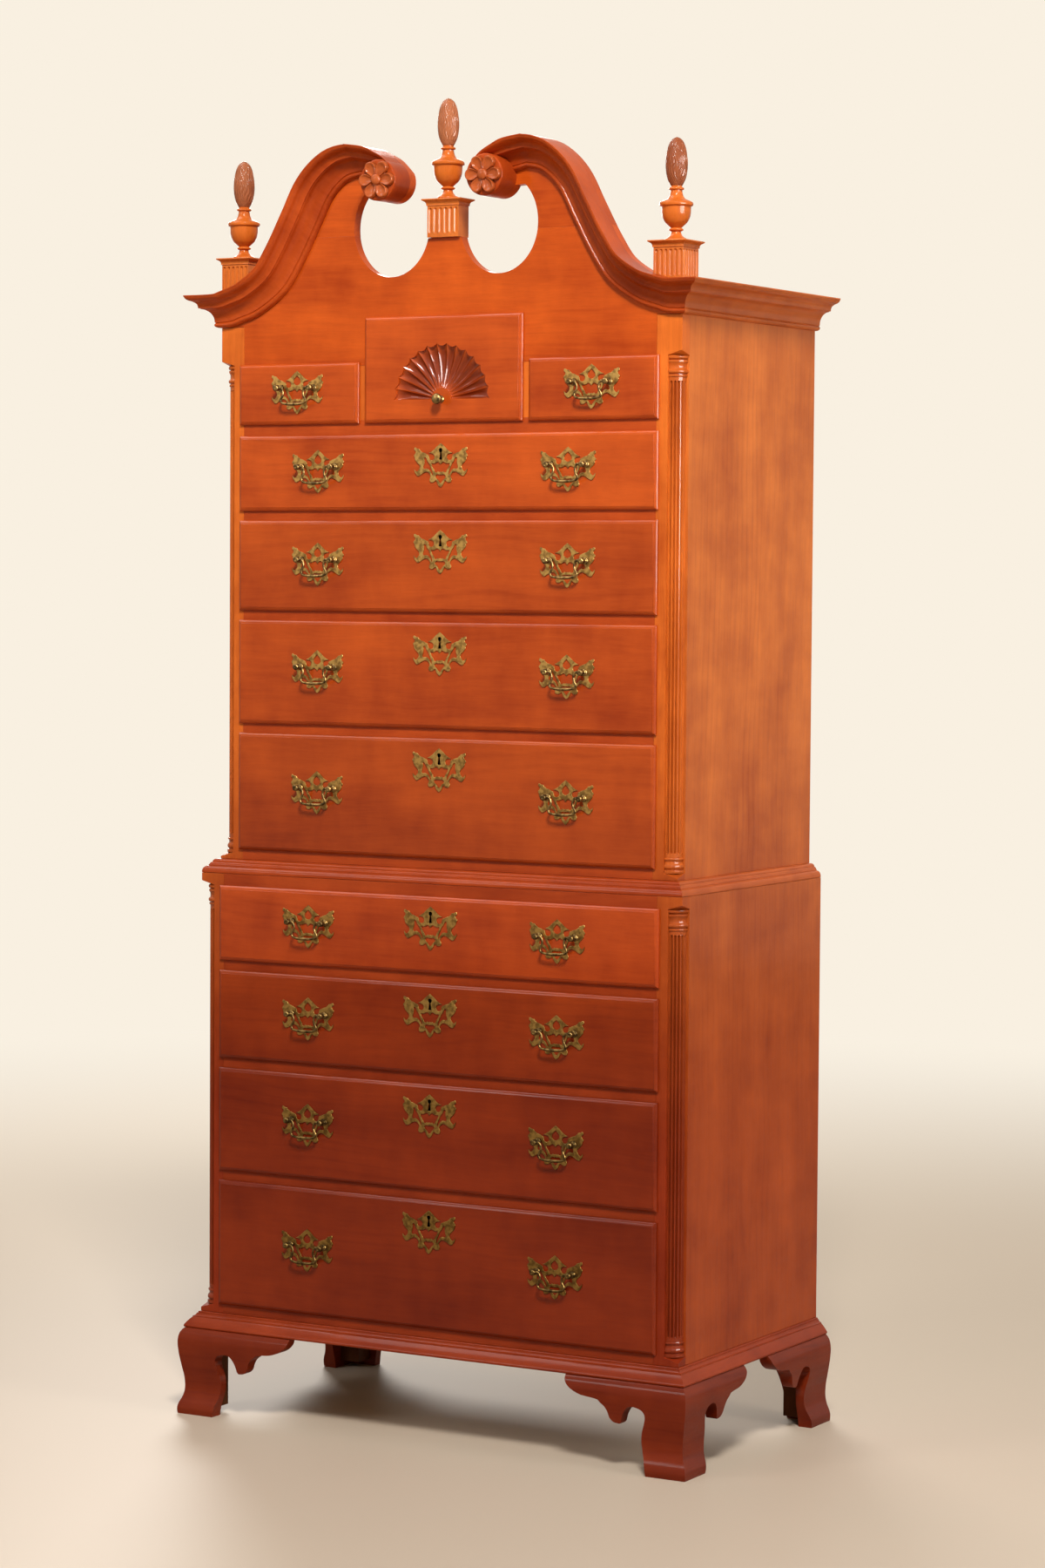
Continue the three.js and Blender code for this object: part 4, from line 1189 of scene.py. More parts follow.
@dataclass
class Pediment(Assembly):
    """The scroll board, the two swan necks with their volutes, and the side cornices."""

    case: CaseSize
    reach: float = 0.050
    fit: float = 0.0003
    neck_rise: float = 0.308
    volute_x: float = 0.107
    volute_rise: float = 0.243
    drum: float = 0.036
    board_thickness: float = 0.020
    oval_x: float = 0.1085
    oval_rise: float = 0.165
    oval_half_width: float = 0.077
    oval_half_height: float = 0.086
    plinth_foot: float = 0.144
    plinth_size: float = 0.056
    stile_inner: float = 0.048
    joint_rise: float = 0.153

    def __post_init__(self) -> None:
        """Read the cornice's levels and work out the neck's stations."""
        low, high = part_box("upper_top")
        self.foot = low.z
        self.height = high.z - low.z
        self.stations = self.neck_stations()

    @staticmethod
    def section() -> list[Pair]:
        """Give the cornice's section as shares of its reach and height, from the wall out and up."""
        return drawn([
            [(0.0, 0.0)], [(0.075, 0.0)],
            [(0.165, 0.035), (0.195, 0.095), (0.155, 0.155)],
            [(0.185, 0.175)],
            [(0.205, 0.32), (0.29, 0.465), (0.42, 0.555), (0.545, 0.585)],
            [(0.56, 0.60)], [(0.615, 0.605)], [(0.62, 0.655)],
            [(0.655, 0.74), (0.755, 0.805), (0.875, 0.845), (0.955, 0.90), (0.985, 0.955)],
            [(1.0, 0.965)], [(1.0, 1.0)], [(0.0, 1.0)],
        ])

    def neck_stations(self) -> list[tuple[Pair, Pair]]:
        """Give the neck's lower and upper edge, from past the corner to the volute."""
        lower = [
            (1.12, 0.0, 1), (0.968, 0.002, 1), (0.9, 0.026, 1), (0.81, 0.075, 1), (0.7, 0.19, 1),
            (0.624, 0.35, 1), (0.55, 0.55, 1), (0.492, 0.71, 1), (0.424, 0.806, 0.97), (0.355, 0.832, 0.93),
        ]
        volute = [
            (0.92, 0.2, 0.92, 1.66), (0.42, 0.25, 0.3, 1.39),
            (0.08, 0.36, -0.25, 1.08), (-0.25, 0.25, -0.69, 0.66),
        ]
        line = smooth([(x * self.case.half, rise * self.neck_rise, width) for x, rise, width in lower], 6)
        pairs = []
        for index, (x, rise, width) in enumerate(line):
            ahead = line[min(index + 1, len(line) - 1)]
            behind = line[max(index - 1, 0)]
            along = Vector((ahead[0] - behind[0], ahead[1] - behind[1])).normalized()
            out = width * self.height
            pairs.append((x, rise, x + along.y * out, rise - along.x * out))
        for inner_x, inner_rise, outer_x, outer_rise in volute:
            pairs.append((
                self.volute_x + inner_x * self.drum, self.volute_rise + inner_rise * self.drum,
                self.volute_x + outer_x * self.drum, self.volute_rise + outer_rise * self.drum,
            ))
        turn = pairs[:-6] + smooth(pairs[-6:], 5)
        return [((a, b), (c, d)) for a, b, c, d in turn]

    def build(self) -> None:
        """Build every piece of the pediment that isn't turned or carved."""
        neck = self.neck()
        left_neck = mirrored(neck)
        necks = ((neck, "right", Grain.ALONG_NECK), (left_neck, "left", Grain.ALONG_LEFT_NECK))
        for piece, side, grain in necks:
            self.shop.wooden(piece, Wood.MOULDING, grain, shade=28)
            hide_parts(f"swan_neck_{side}")
        section = scaled(self.section(), self.reach - self.fit, self.height)
        half, front = self.case.half + self.fit, self.case.front - self.fit
        RunningMoulding(
            self.shop, "side_cornice", "upper_top", half, front, self.case.back, section, self.foot,
            with_front=False, side_wood=Wood.TRIM,
        ).build()
        self.build_boards()

    def neck(self) -> Piece:
        """Make the right swan neck, mitred at the corner, with the drum that ends it."""
        section = self.section()
        rings = []
        for (lower_x, lower_rise), (upper_x, upper_rise) in self.stations:
            rings.append([
                Vector((
                    lower_x + (upper_x - lower_x) * rise,
                    self.case.front - self.fit - reach * (self.reach - self.fit),
                    self.foot + lower_rise + (upper_rise - lower_rise) * rise,
                ))
                for reach, rise in section
            ])
        neck = loft("neck", rings)
        sawn_off(neck, (self.case.half, self.case.front, self.foot), (1, 1, 0))
        out = self.reach - self.fit
        drum = spun("drum", drawn([
            [(0.0, 0.0)], [(self.drum, 0.0)], [(self.drum, out - 0.003)],
            [(self.drum - 0.0008, out - 0.001), (self.drum - 0.003, out)], [(0.0, out)],
        ]), 72)
        centre = Vector((self.volute_x, self.case.front - self.fit, self.foot + self.volute_rise))
        drum.data.transform(Matrix.Translation(centre) @ TO_FRONT)
        return fused("neck_moulding_right", [neck, drum])

    def outline(self) -> list[Pair]:
        """Give the right half of the scroll board's outline, as x and rise above the cornice's foot."""
        fan_high, small_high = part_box("drawer_fan")[1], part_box("drawer_small_right")[1]
        fan_edge = fan_high.x - LIP_OVERLAP
        frieze = small_high.z - LIP_OVERLAP + self.fit - self.foot
        side = self.case.half - self.stile_inner - self.fit
        shoulder = self.height - self.fit
        plinth_edge = self.case.half - self.plinth_size - self.fit
        points = [
            (fan_edge, fan_high.z - LIP_OVERLAP - self.foot), (fan_edge, frieze), (side, frieze),
            (side, self.fit), (self.case.half, self.fit), (self.case.half, shoulder), (plinth_edge, shoulder),
        ]
        points += [upper for _, upper in self.stations if upper[0] < plinth_edge]
        drum_steps, oval_steps = 18, 48
        drum_start, oval_start = math.radians(155), math.radians(48)
        for step in range(drum_steps + 1):
            angle = drum_start + math.pi * step / drum_steps
            points.append((
                self.volute_x + self.drum * math.cos(angle), self.volute_rise + self.drum * math.sin(angle),
            ))
        end = -math.pi + math.asin((self.oval_rise - self.plinth_foot) / self.oval_half_height)
        for step in range(oval_steps + 1):
            angle = oval_start + (end - oval_start) * step / oval_steps
            points.append((
                self.oval_x + self.oval_half_width * math.cos(angle),
                self.oval_rise + self.oval_half_height * math.sin(angle),
            ))
        return points

    def build_boards(self) -> None:
        """Build the scroll board out of two boards, glued edge to edge."""
        right = self.outline()
        left = [(-x, rise) for x, rise in reversed(right)]
        ring = [Vector((x, self.case.front, self.foot + rise)) for x, rise in [*right, *left]]
        push = Vector((0, self.board_thickness, 0))
        joint = (0, 0, self.foot + self.joint_rise)
        lower = sawn_off(slab("scroll_board_lower", ring, push), joint, (0, 0, 1))
        upper = sawn_off(slab("scroll_board_upper", ring, push), joint, (0, 0, -1))
        for piece in (lower, upper):
            eased(piece, 0.0005)
            self.shop.wooden(piece, Wood.FRIEZE, Grain.ALONG_X)
        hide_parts("scroll_board")


@dataclass
class Rosette(Assembly):
    """A rosette of six cupped petals carved on the end of a volute."""

    petals: int = 6
    samples: int = 26
    spread: float = 1.05
    tip_radius: float = 0.325
    cup_start: float = 0.46
    hub_rise: float = 0.72
    # Where the painted shade between the petals begins, as a share of the depth.
    hollow_shade_start: float = 0.60

    def build(self) -> None:
        """Build the right rosette and mirror it."""
        low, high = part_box("rosette_right")
        centre = Vector(((low.x + high.x) / 2, high.y, (low.z + high.z) / 2))
        radius, depth = (high.x - low.x) / 2 * self.spread, high.y - low.y
        rosette = loft("carved_rosette_right", self.rings(centre, radius, depth))
        hollow = PaintedHollowShade(low.y + depth * self.hollow_shade_start, high.y)
        self.shop.both_sides(rosette, Wood.ROSETTE, Grain.ALONG_X, "rosette", shade=50, hollow=hollow)

    def rings(self, centre: Vector, radius: float, depth: float) -> list[Ring]:
        """Give rings from the back of the rosette over its petals to the boss.

        Args:
            centre: The middle of its back.
            radius: Its radius.
            depth: Its depth.

        Returns:
            The rings.
        """
        cup = smooth([
            (0.40, 0.0), (0.42, 0.30), (0.52, 0.55), (0.72, 0.75), (0.78, 0.85), (0.66, 0.94), (0.22, 1.0),
        ], 4)
        shares = (1.0, 0.985, 0.96, 0.93, 0.89, 0.84, 0.78, 0.71, 0.64, 0.57, 0.50, 0.43, 0.36, 0.29)
        boss = [(0.275, 0.30), (0.272, 0.58), (0.245, 0.78), (0.18, 0.92), (0.095, 0.985), (0.02, 1.0)]
        rings = [self.petal_ring(centre, radius, 1.0, None, 0.0)]
        rings += [self.petal_ring(centre, share * radius, share, cup, depth) for share in shares]
        for share, rise in boss:
            reach, height = share * radius, rise * depth
            rings.append([
                centre + Vector((reach * math.cos(angle), -height, reach * math.sin(angle)))
                for angle in self.angles()
            ])
        return rings

    def angles(self) -> list[float]:
        """Give the angles of the stations, which start half a petal below the level line."""
        count = self.petals * self.samples
        return [math.tau * (index / count - 0.5 / self.petals) for index in range(count)]

    def petal_ring(self, centre: Vector, radius: float, share: float, cup: list[Pair] | None,
                   depth: float) -> Ring:
        """Give one ring round the petals.

        Args:
            centre: The middle of the rosette's back.
            radius: The ring's radius at the middle of a petal.
            share: The same radius as a share of the rosette's.
            cup: A petal's height over its ground, from its middle to its edge, or None on the ground.
            depth: The rosette's depth.

        Returns:
            The ring.
        """
        ring = []
        middle = 1 - self.tip_radius
        tipwards = max((share - self.cup_start) / (1 - self.cup_start), 0.0)
        for index, angle in enumerate(self.angles()):
            across = abs((index % self.samples) / self.samples * 2 - 1)
            turn = across * math.pi / self.petals
            half_chord = max(self.tip_radius ** 2 - (middle * math.sin(turn)) ** 2, 0)
            tip = middle * math.cos(turn) + math.sqrt(half_chord)
            reach = radius * (1 - share * (1 - tip))
            edge = min((tipwards ** 4 + across ** 4) ** 0.25, 1.0)
            rise = self.hub_rise + (1 - self.hub_rise) * share
            height = depth * level_on(cup, edge) * rise if cup else 0.0
            ring.append(centre + Vector((reach * math.cos(angle), -height, reach * math.sin(angle))))
        return ring


@dataclass
class Plinth(Assembly):
    """A square plinth with flutes and a flared cap, under a finial."""

    node: str
    name: str
    side_flutes: bool
    cap_height: float = 0.012
    cap_reach: float = 0.008
    count: int = 6
    depth: float = 0.0030
    land_share: float = 0.34
    stop: float = 0.006

    def build(self) -> Piece:
        """Build the plinth and its cap as one carved piece.

        Returns:
            The piece.
        """
        low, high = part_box(self.node)
        reach = self.cap_reach
        x0, x1, y0, y1 = low.x + reach, high.x - reach, low.y + reach, high.y - reach
        floor, top = low.z, high.z - self.cap_height
        width = x1 - x0
        radius = width / self.count * (1 - self.land_share) / 2
        rings = [self.body_ring(x0, x1, y0, y1, floor, 0.0)]
        rings += [
            self.body_ring(x0, x1, y0, y1, z, swell)
            for z, swell in flute_levels(floor + self.stop, top - self.stop / 2, radius)
        ]
        cap = drawn([
            [(0.0, 0.0)], [(0.16, 0.02)], [(0.2, 0.1), (0.16, 0.2)], [(0.2, 0.24)],
            [(0.26, 0.42), (0.42, 0.58), (0.66, 0.68), (0.84, 0.76)], [(0.96, 0.80)], [(1.0, 0.84)],
            [(1.0, 0.95)], [(0.94, 1.0)],
        ])
        for share, rise in cap:
            out = share * reach
            rings.append(self.body_ring(
                x0 - out, x1 + out, y0 - out, y1 + out, top + rise * self.cap_height, 0.0,
            ))
        piece = loft(self.name, rings)
        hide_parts(self.node)
        return self.shop.wooden(piece, Wood.PLINTH, Grain.ALONG_Z, shade=30)

    def body_ring(self, x0: float, x1: float, y0: float, y1: float, z: float, swell: float) -> Ring:
        """Give one ring round the plinth.

        Args:
            x0: Its left side.
            x1: Its right side.
            y0: Its front.
            y1: Its back.
            z: The height.
            swell: The flutes' swell there.

        Returns:
            The ring.
        """
        width, deep = x1 - x0, y1 - y0
        land = self.land_share * width / self.count
        edge = land / 2 + 0.0006
        ring = [Vector((x0, y0, z))]
        for along, depth in fluted(edge, width - edge, self.count, land, swell):
            ring.append(Vector((x0 + along, y0 + depth * self.depth, z)))
        ring.append(Vector((x1, y0, z)))
        if self.side_flutes:
            for along, depth in fluted(edge, deep - edge, self.count, land, swell):
                ring.append(Vector((x1 - depth * self.depth, y0 + along, z)))
        ring.append(Vector((x1, y1, z)))
        ring.append(Vector((x0, y1, z)))
        return ring


@dataclass
class Finial(Assembly):
    """A turned urn with a carved flame on it."""

    node: str
    sides: int = 176
    grooves: int = 22
    groove_depth: float = 0.075
    waver: float = 0.20
    ripple: float = 150.0
    twist: float = 9.0
    run_in: float = 10.0
    run_out: float = 7.0
    flame_start: float = 0.53

    def build(self) -> None:
        """Build the finial."""
        low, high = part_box(self.node)
        radius, height = (high.x - low.x) / 2, high.z - low.z
        centre = (low + high) / 2
        urn = [
            self.ring(centre, share * radius, low.z + rise * height, 0.0, 0.0)
            for share, rise in self.urn_profile()
        ]
        flame = []
        for share, rise in self.flame_profile():
            up = (rise - self.flame_start) / (1 - self.flame_start)
            swell = min(1.0, up * self.run_in, (1 - up) * self.run_out)
            flame.append(self.ring(centre, share * radius, low.z + rise * height, swell, rise * height))
        turned = loft(f"turned_{self.node}", urn)
        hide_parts(self.node)
        self.shop.wooden(turned, Wood.CARVED, Grain.ALONG_Z, shade=34)
        self.shop.wooden(loft(f"flame_{self.node}", flame), Wood.FLAME, Grain.ALONG_Z, shade=60)

    @staticmethod
    def urn_profile() -> list[Pair]:
        """Give radius and height shares from the foot to the neck under the flame."""
        return drawn([
            [(0.62, 0.0)], [(0.66, 0.003), (0.66, 0.014), (0.60, 0.022)],
            [(0.44, 0.038), (0.33, 0.06), (0.28, 0.088)], [(0.36, 0.094)],
            [(0.42, 0.101), (0.42, 0.111), (0.36, 0.119)], [(0.31, 0.124)],
            [(0.46, 0.146), (0.66, 0.178), (0.80, 0.222), (0.86, 0.270), (0.87, 0.325)],
            [(0.90, 0.332)], [(0.985, 0.338), (1.0, 0.352), (0.985, 0.366), (0.93, 0.374)],
            [(0.80, 0.385), (0.56, 0.402), (0.43, 0.426), (0.36, 0.462), (0.345, 0.488)],
            [(0.42, 0.492), (0.455, 0.501), (0.42, 0.511)], [(0.33, 0.517)], [(0.33, 0.530)],
        ], 4)

    @staticmethod
    def flame_profile() -> list[Pair]:
        """Give radius and height shares from the foot of the flame to its tip."""
        return smooth([
            (0.335, 0.530), (0.43, 0.556), (0.545, 0.60), (0.62, 0.655), (0.655, 0.715), (0.65, 0.775),
            (0.605, 0.84), (0.52, 0.905), (0.38, 0.958), (0.21, 0.987), (0.05, 0.999), (0.01, 1.0),
        ], 5)

    def ring(self, centre: Vector, radius: float, z: float, swell: float, travel: float) -> Ring:
        """Give one ring of the urn or the flame.

        Args:
            centre: The finial's middle.
            radius: The ring's radius.
            z: The height.
            swell: How deep the twisted grooves are there, as a share of their full depth.
            travel: How far up the finial the ring is, which turns the grooves.

        Returns:
            The ring.
        """
        ring = []
        for index in range(self.sides):
            angle = math.tau * index / self.sides
            drift = self.waver * math.sin(self.ripple * travel + 2 * angle) + self.twist * travel
            wave = 0.5 + 0.5 * math.cos(self.grooves * (angle + drift))
            reach = radius * (1 - self.groove_depth * swell * wave ** 2)
            ring.append(Vector((centre.x + reach * math.cos(angle), centre.y + reach * math.sin(angle), z)))
        return ring


# Feet


@dataclass
class BracketFeet(Assembly):
    """Four ogee bracket feet, each mitred at its corner."""

    case: CaseSize
    wing: float = 0.238
    inner_reach: float = 0.004
    bracket: float = 0.018
    block_size: float = 0.040
    block_rise: float = 0.012
    lap: float = 0.0004
    slices: int = 40

    def __post_init__(self) -> None:
        """Read the feet's height and reach."""
        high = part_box("front_foot_right")[1]
        self.height = high.z
        self.reach = high.x - self.case.half
        self.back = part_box("back_foot_right")[1].y
        self.ogee = smooth([
            (0.66, 1.0), (0.86, 0.955), (0.97, 0.885), (0.985, 0.80), (0.93, 0.69), (0.82, 0.56),
            (0.71, 0.44), (0.665, 0.34), (0.69, 0.255), (0.79, 0.185), (0.93, 0.125), (1.0, 0.075),
            (1.0, 0.03), (0.97, 0.0),
        ], 4)

    @staticmethod
    def wing_line() -> list[Pair]:
        """Give the bracket's outline as shares of the wing's length and the foot's height."""
        return drawn([
            [(0.0, 0.0)], [(0.318, 0.0)],
            [(0.328, 0.09), (0.348, 0.185), (0.367, 0.28), (0.374, 0.38), (0.365, 0.47), (0.347, 0.55),
             (0.335, 0.62), (0.339, 0.675), (0.366, 0.716), (0.42, 0.738), (0.464, 0.73), (0.496, 0.685),
             (0.518, 0.62), (0.530, 0.55)],
            [(0.543, 0.53)], [(0.59, 0.54), (0.622, 0.585), (0.636, 0.65), (0.658, 0.705), (0.69, 0.742)],
            [(0.712, 0.775)],
            [(0.763, 0.787), (0.838, 0.80), (0.90, 0.83), (0.951, 0.875), (0.985, 0.935), (0.995, 1.0)],
            [(0.0, 1.0)],
        ], 3)

    @staticmethod
    def rear_line() -> list[Pair]:
        """Give the plain rear bracket's outline in the same shares."""
        return drawn([
            [(0.0, 0.0)], [(0.33, 0.0)],
            [(0.36, 0.3), (0.45, 0.6), (0.62, 0.8), (0.8, 0.86)], [(0.8, 1.0)], [(0.0, 1.0)],
        ], 4)

    def build(self) -> None:
        """Build the right feet and mirror them."""
        corner_x, corner_y = self.case.half + self.reach, self.case.front - self.reach
        corner = (corner_x, corner_y, 0.0)
        front = sawn_off(self.front_wing(corner_x), corner, (1, 1, 0))
        side = sawn_off(self.side_wing(corner_y, 1, "front_foot_side_right"), corner, (-1, -1, 0))
        back = self.side_wing(self.back - self.lap, -1, "back_foot_side_right")
        rear = self.rear_wing(corner_x)
        block = self.glue_block(self.case.front - self.inner_reach, 1, "front_foot_block_right")
        back_block = self.glue_block(self.back - self.bracket, -1, "back_foot_block_right")
        for piece, wood, grain, node in (
            (front, Wood.FOOT, Grain.ALONG_X, "front_foot"), (side, Wood.FOOT, Grain.ALONG_Y, ""),
            (back, Wood.FOOT, Grain.ALONG_Y, "back_foot"), (rear, Wood.FOOT, Grain.ALONG_X, ""),
            (block, Wood.BLOCK, Grain.ALONG_Z, ""), (back_block, Wood.BLOCK, Grain.ALONG_Z, ""),
        ):
            self.shop.both_sides(piece, wood, grain, node)

    def sliced(self, piece: Piece) -> Piece:
        """Cut level loops through a bracket, so that its face can follow the ogee."""
        focus(piece)
        bpy.ops.object.mode_set(mode="EDIT")
        for index in range(1, self.slices):
            bpy.ops.mesh.select_all(action="SELECT")
            level = self.height * index / self.slices
            bpy.ops.mesh.bisect(plane_co=(0, 0, level), plane_no=(0, 0, 1))
        bpy.ops.object.mode_set(mode="OBJECT")
        return piece

    def bulge(self, z: float) -> float:
        """Give how far the ogee face stands out at a height."""
        return self.reach * level_on(self.ogee, min(max(z / self.height, 0.0), 1.0))

    def front_wing(self, corner_x: float) -> Piece:
        """Make the front bracket of the right foot, from its corner inwards."""
        outline = [
            Vector((corner_x - along * self.wing, self.case.front - self.inner_reach, rise * self.height))
            for along, rise in self.wing_line()
        ]
        wing = self.sliced(slab("front_foot_face_right", outline, Vector((0, -self.reach, 0))))
        for vertex in wing.data.vertices:
            if vertex.co.y < self.case.front - self.inner_reach - WELD:
                vertex.co.y = self.case.front - self.bulge(vertex.co.z)
        return wing

    def side_wing(self, start: float, direction: int, name: str) -> Piece:
        """Make a side bracket of a right foot.

        Args:
            start: Where the bracket starts, at one end of the case.
            direction: 1 where it runs towards the back and -1 where it runs towards the front.
            name: The bracket's name.

        Returns:
            The bracket.
        """
        inner = self.case.half + self.inner_reach
        outline = [
            Vector((inner, start + direction * along * self.wing, rise * self.height))
            for along, rise in self.wing_line()
        ]
        wing = self.sliced(slab(name, outline, Vector((self.reach, 0, 0))))
        for vertex in wing.data.vertices:
            if vertex.co.x > inner + WELD:
                vertex.co.x = self.case.half + self.bulge(vertex.co.z)
        return wing

    def rear_wing(self, corner_x: float) -> Piece:
        """Make the plain rear bracket of the right back foot, fitted behind the side bracket."""
        face = self.back - self.bracket
        outline = [
            Vector((corner_x - along * self.wing, face, rise * self.height))
            for along, rise in self.rear_line()
        ]
        wing = self.sliced(slab("back_foot_rear_right", outline, Vector((0, self.bracket, 0))))
        for vertex in wing.data.vertices:
            vertex.co.x = min(vertex.co.x, self.case.half + self.bulge(vertex.co.z) - 0.0006)
        return wing

    def glue_block(self, y: float, direction: int, name: str) -> Piece:
        """Make the glue block inside a corner.

        Args:
            y: Where it touches the bracket.
            direction: 1 where it lies behind that place and -1 where it lies in front of it.
            name: The block's name.

        Returns:
            The block.
        """
        inner = self.case.half + self.inner_reach
        y0, y1 = sorted((y, y + direction * self.block_size))
        return board(name, (inner - self.block_size, y0, self.block_rise), (inner, y1, self.height), 0.001)


# Drawers and brasses


@dataclass
class Brasses:
    """The pierced plates, posts and bails that dress the drawers."""

    half_width: float = 0.0535
    half_height: float = 0.0375
    thickness: float = 0.002
    rounding: float = 0.0006
    post_spacing: float = 0.070
    post_rise: float = 0.008
    post_length: float = 0.015
    ball: float = 0.0054

    def __post_init__(self) -> None:
        """Model one of each piece at the origin, facing -Y."""
        self.pull_plate = self.plate("pull_plate_model", keyhole=False)
        self.key_plate = self.plate("key_plate_model", keyhole=True)
        self.post = self.post_model()
        self.bail = self.bail_model()
        self.models = (self.pull_plate, self.key_plate, self.post, self.bail)

    @staticmethod
    def outline() -> list[Pair]:
        """Give the right half of a plate's outline, from its crown to its tail."""
        return drawn([
            [(0.0, 1.0)], [(0.06, 0.935), (0.11, 0.885), (0.155, 0.83), (0.20, 0.77)], [(0.245, 0.705)],
            [(0.30, 0.655), (0.36, 0.60), (0.405, 0.575)], [(0.33, 0.555), (0.27, 0.525), (0.228, 0.45)],
            [(0.222, 0.36), (0.25, 0.27), (0.33, 0.215), (0.41, 0.25), (0.442, 0.33), (0.452, 0.41)],
            [(0.475, 0.475)], [(0.52, 0.49), (0.56, 0.53)], [(0.60, 0.545), (0.64, 0.575)],
            [(0.69, 0.585), (0.73, 0.615)], [(0.76, 0.665), (0.80, 0.67)], [(0.815, 0.745)],
            [(0.86, 0.76), (0.905, 0.765)], [(0.945, 0.81), (0.985, 0.81)],
            [(0.995, 0.73), (0.94, 0.665), (0.935, 0.60)], [(0.955, 0.54), (1.0, 0.47), (1.0, 0.42)],
            [(0.965, 0.37), (0.965, 0.30)], [(0.945, 0.24), (0.90, 0.16)],
            [(0.85, 0.10), (0.80, 0.03), (0.78, -0.06), (0.785, -0.14)],
            [(0.82, -0.21), (0.87, -0.28), (0.905, -0.305)], [(0.945, -0.28), (0.985, -0.225)],
            [(0.965, -0.33), (0.92, -0.40), (0.895, -0.455), (0.85, -0.485)],
            [(0.78, -0.45), (0.70, -0.375), (0.62, -0.315), (0.55, -0.285)],
            [(0.47, -0.305), (0.415, -0.37), (0.375, -0.45), (0.362, -0.53)],
            [(0.39, -0.60), (0.405, -0.68), (0.375, -0.76), (0.30, -0.775), (0.235, -0.74), (0.19, -0.685)],
            [(0.155, -0.70), (0.12, -0.80), (0.07, -0.92), (0.0, -1.0)],
        ], 3)

    @staticmethod
    def openings() -> list[list[Pair]]:
        """Give the right half's openings: the side slot, and half of each opening on the middle line."""
        slot = drawn([
            [(0.445, 0.13)], [(0.49, 0.20), (0.53, 0.32), (0.585, 0.38), (0.64, 0.33)],
            [(0.625, 0.22), (0.635, 0.08), (0.66, -0.03), (0.67, -0.12)],
            [(0.62, -0.185), (0.55, -0.165), (0.48, -0.185), (0.415, -0.26), (0.37, -0.36), (0.335, -0.46)],
            [(0.30, -0.49)], [(0.285, -0.40), (0.305, -0.28), (0.345, -0.15), (0.385, -0.03), (0.41, 0.05)],
        ], 3)
        middle = drawn([
            [(0.0, 0.06)], [(0.035, 0.12), (0.085, 0.17)],
            [(0.13, 0.165), (0.19, 0.12), (0.26, 0.095), (0.33, 0.11)], [(0.36, 0.07)],
            [(0.34, -0.03), (0.295, -0.13), (0.25, -0.22), (0.23, -0.30)],
            [(0.195, -0.35)], [(0.13, -0.345)], [(0.10, -0.30)], [(0.05, -0.335)], [(0.0, -0.305)],
        ], 3)
        tail = drawn([
            [(0.0, -0.41)], [(0.05, -0.43)], [(0.09, -0.40)], [(0.16, -0.43)],
            [(0.205, -0.50), (0.185, -0.59), (0.125, -0.66), (0.07, -0.76), (0.0, -0.86)],
        ], 3)
        return [slot, middle, tail]

    def plate(self, name: str, keyhole: bool) -> Piece:
        """Make a plate from its outline and openings, with eased edges.

        Args:
            name: The plate's name.
            keyhole: Whether it has a keyhole, or else an opening in its crown.

        Returns:
            The plate.
        """
        openings = self.openings()
        loops = [self.both_halves(self.outline())]
        loops += [openings[0], [(-x, z) for x, z in reversed(openings[0])]]
        loops += [self.both_halves(half) for half in openings[1:]]
        if keyhole:
            loops.append(self.keyhole_outline(0.0))
        else:
            crown = [[(0.0, 0.82)], [(0.09, 0.70), (0.14, 0.60), (0.15, 0.46)], [(0.08, 0.36), (0.0, 0.32)]]
            loops.append(self.both_halves(drawn(crown, 3)))
        curve = bpy.data.curves.new(name, "CURVE")
        curve.dimensions = "2D"
        curve.fill_mode = "BOTH"
        curve.extrude = self.thickness / 2 - self.rounding
        curve.bevel_depth = self.rounding
        curve.bevel_resolution = 1
        for loop in loops:
            spline = curve.splines.new("POLY")
            spline.points.add(len(loop) - 1)
            spline.use_cyclic_u = True
            for point, (x, z) in zip(spline.points, loop):
                point.co = (x * self.half_width, z * self.half_height, 0, 1)
        piece = bpy.data.objects.new(name, curve)
        bpy.context.collection.objects.link(piece)
        focus(piece)
        bpy.ops.object.convert(target="MESH")
        piece = added(name)
        piece.data.transform(Matrix.Translation((0, -self.thickness / 2, 0)) @ TO_FRONT)
        bpy.ops.object.mode_set(mode="EDIT")
        bpy.ops.mesh.select_all(action="SELECT")
        bpy.ops.mesh.remove_doubles(threshold=WELD)
        bpy.ops.mesh.normals_make_consistent(inside=False)
        bpy.ops.object.mode_set(mode="OBJECT")
        return piece

    @staticmethod
    def both_halves(half: Sequence[Pair]) -> list[Pair]:
        """Close a half outline that starts and ends on the middle line."""
        return [*half, *[(-x, z) for x, z in reversed(half[1:-1])]]

    def keyhole_outline(self, grow: float) -> list[Pair]:
        """Give the keyhole, a round eye over a slot.

        Args:
            grow: How much wider it is than the plate's own.

        Returns:
            Its outline, as shares of the plate's size.
        """
        eye, slot_half, slot_drop, centre = 0.0043 + grow, 0.0038 + grow, 0.0170 + grow, 0.0258
        start, sweep, steps = math.radians(-62), math.radians(304), 14
        points = []
        for step in range(steps + 1):
            angle = start + sweep * step / steps
            points.append((eye * math.cos(angle), centre + eye * math.sin(angle)))
        points += [(-slot_half, centre - slot_drop), (slot_half, centre - slot_drop)]
        return [(x / self.half_width, z / self.half_height) for x, z in points]

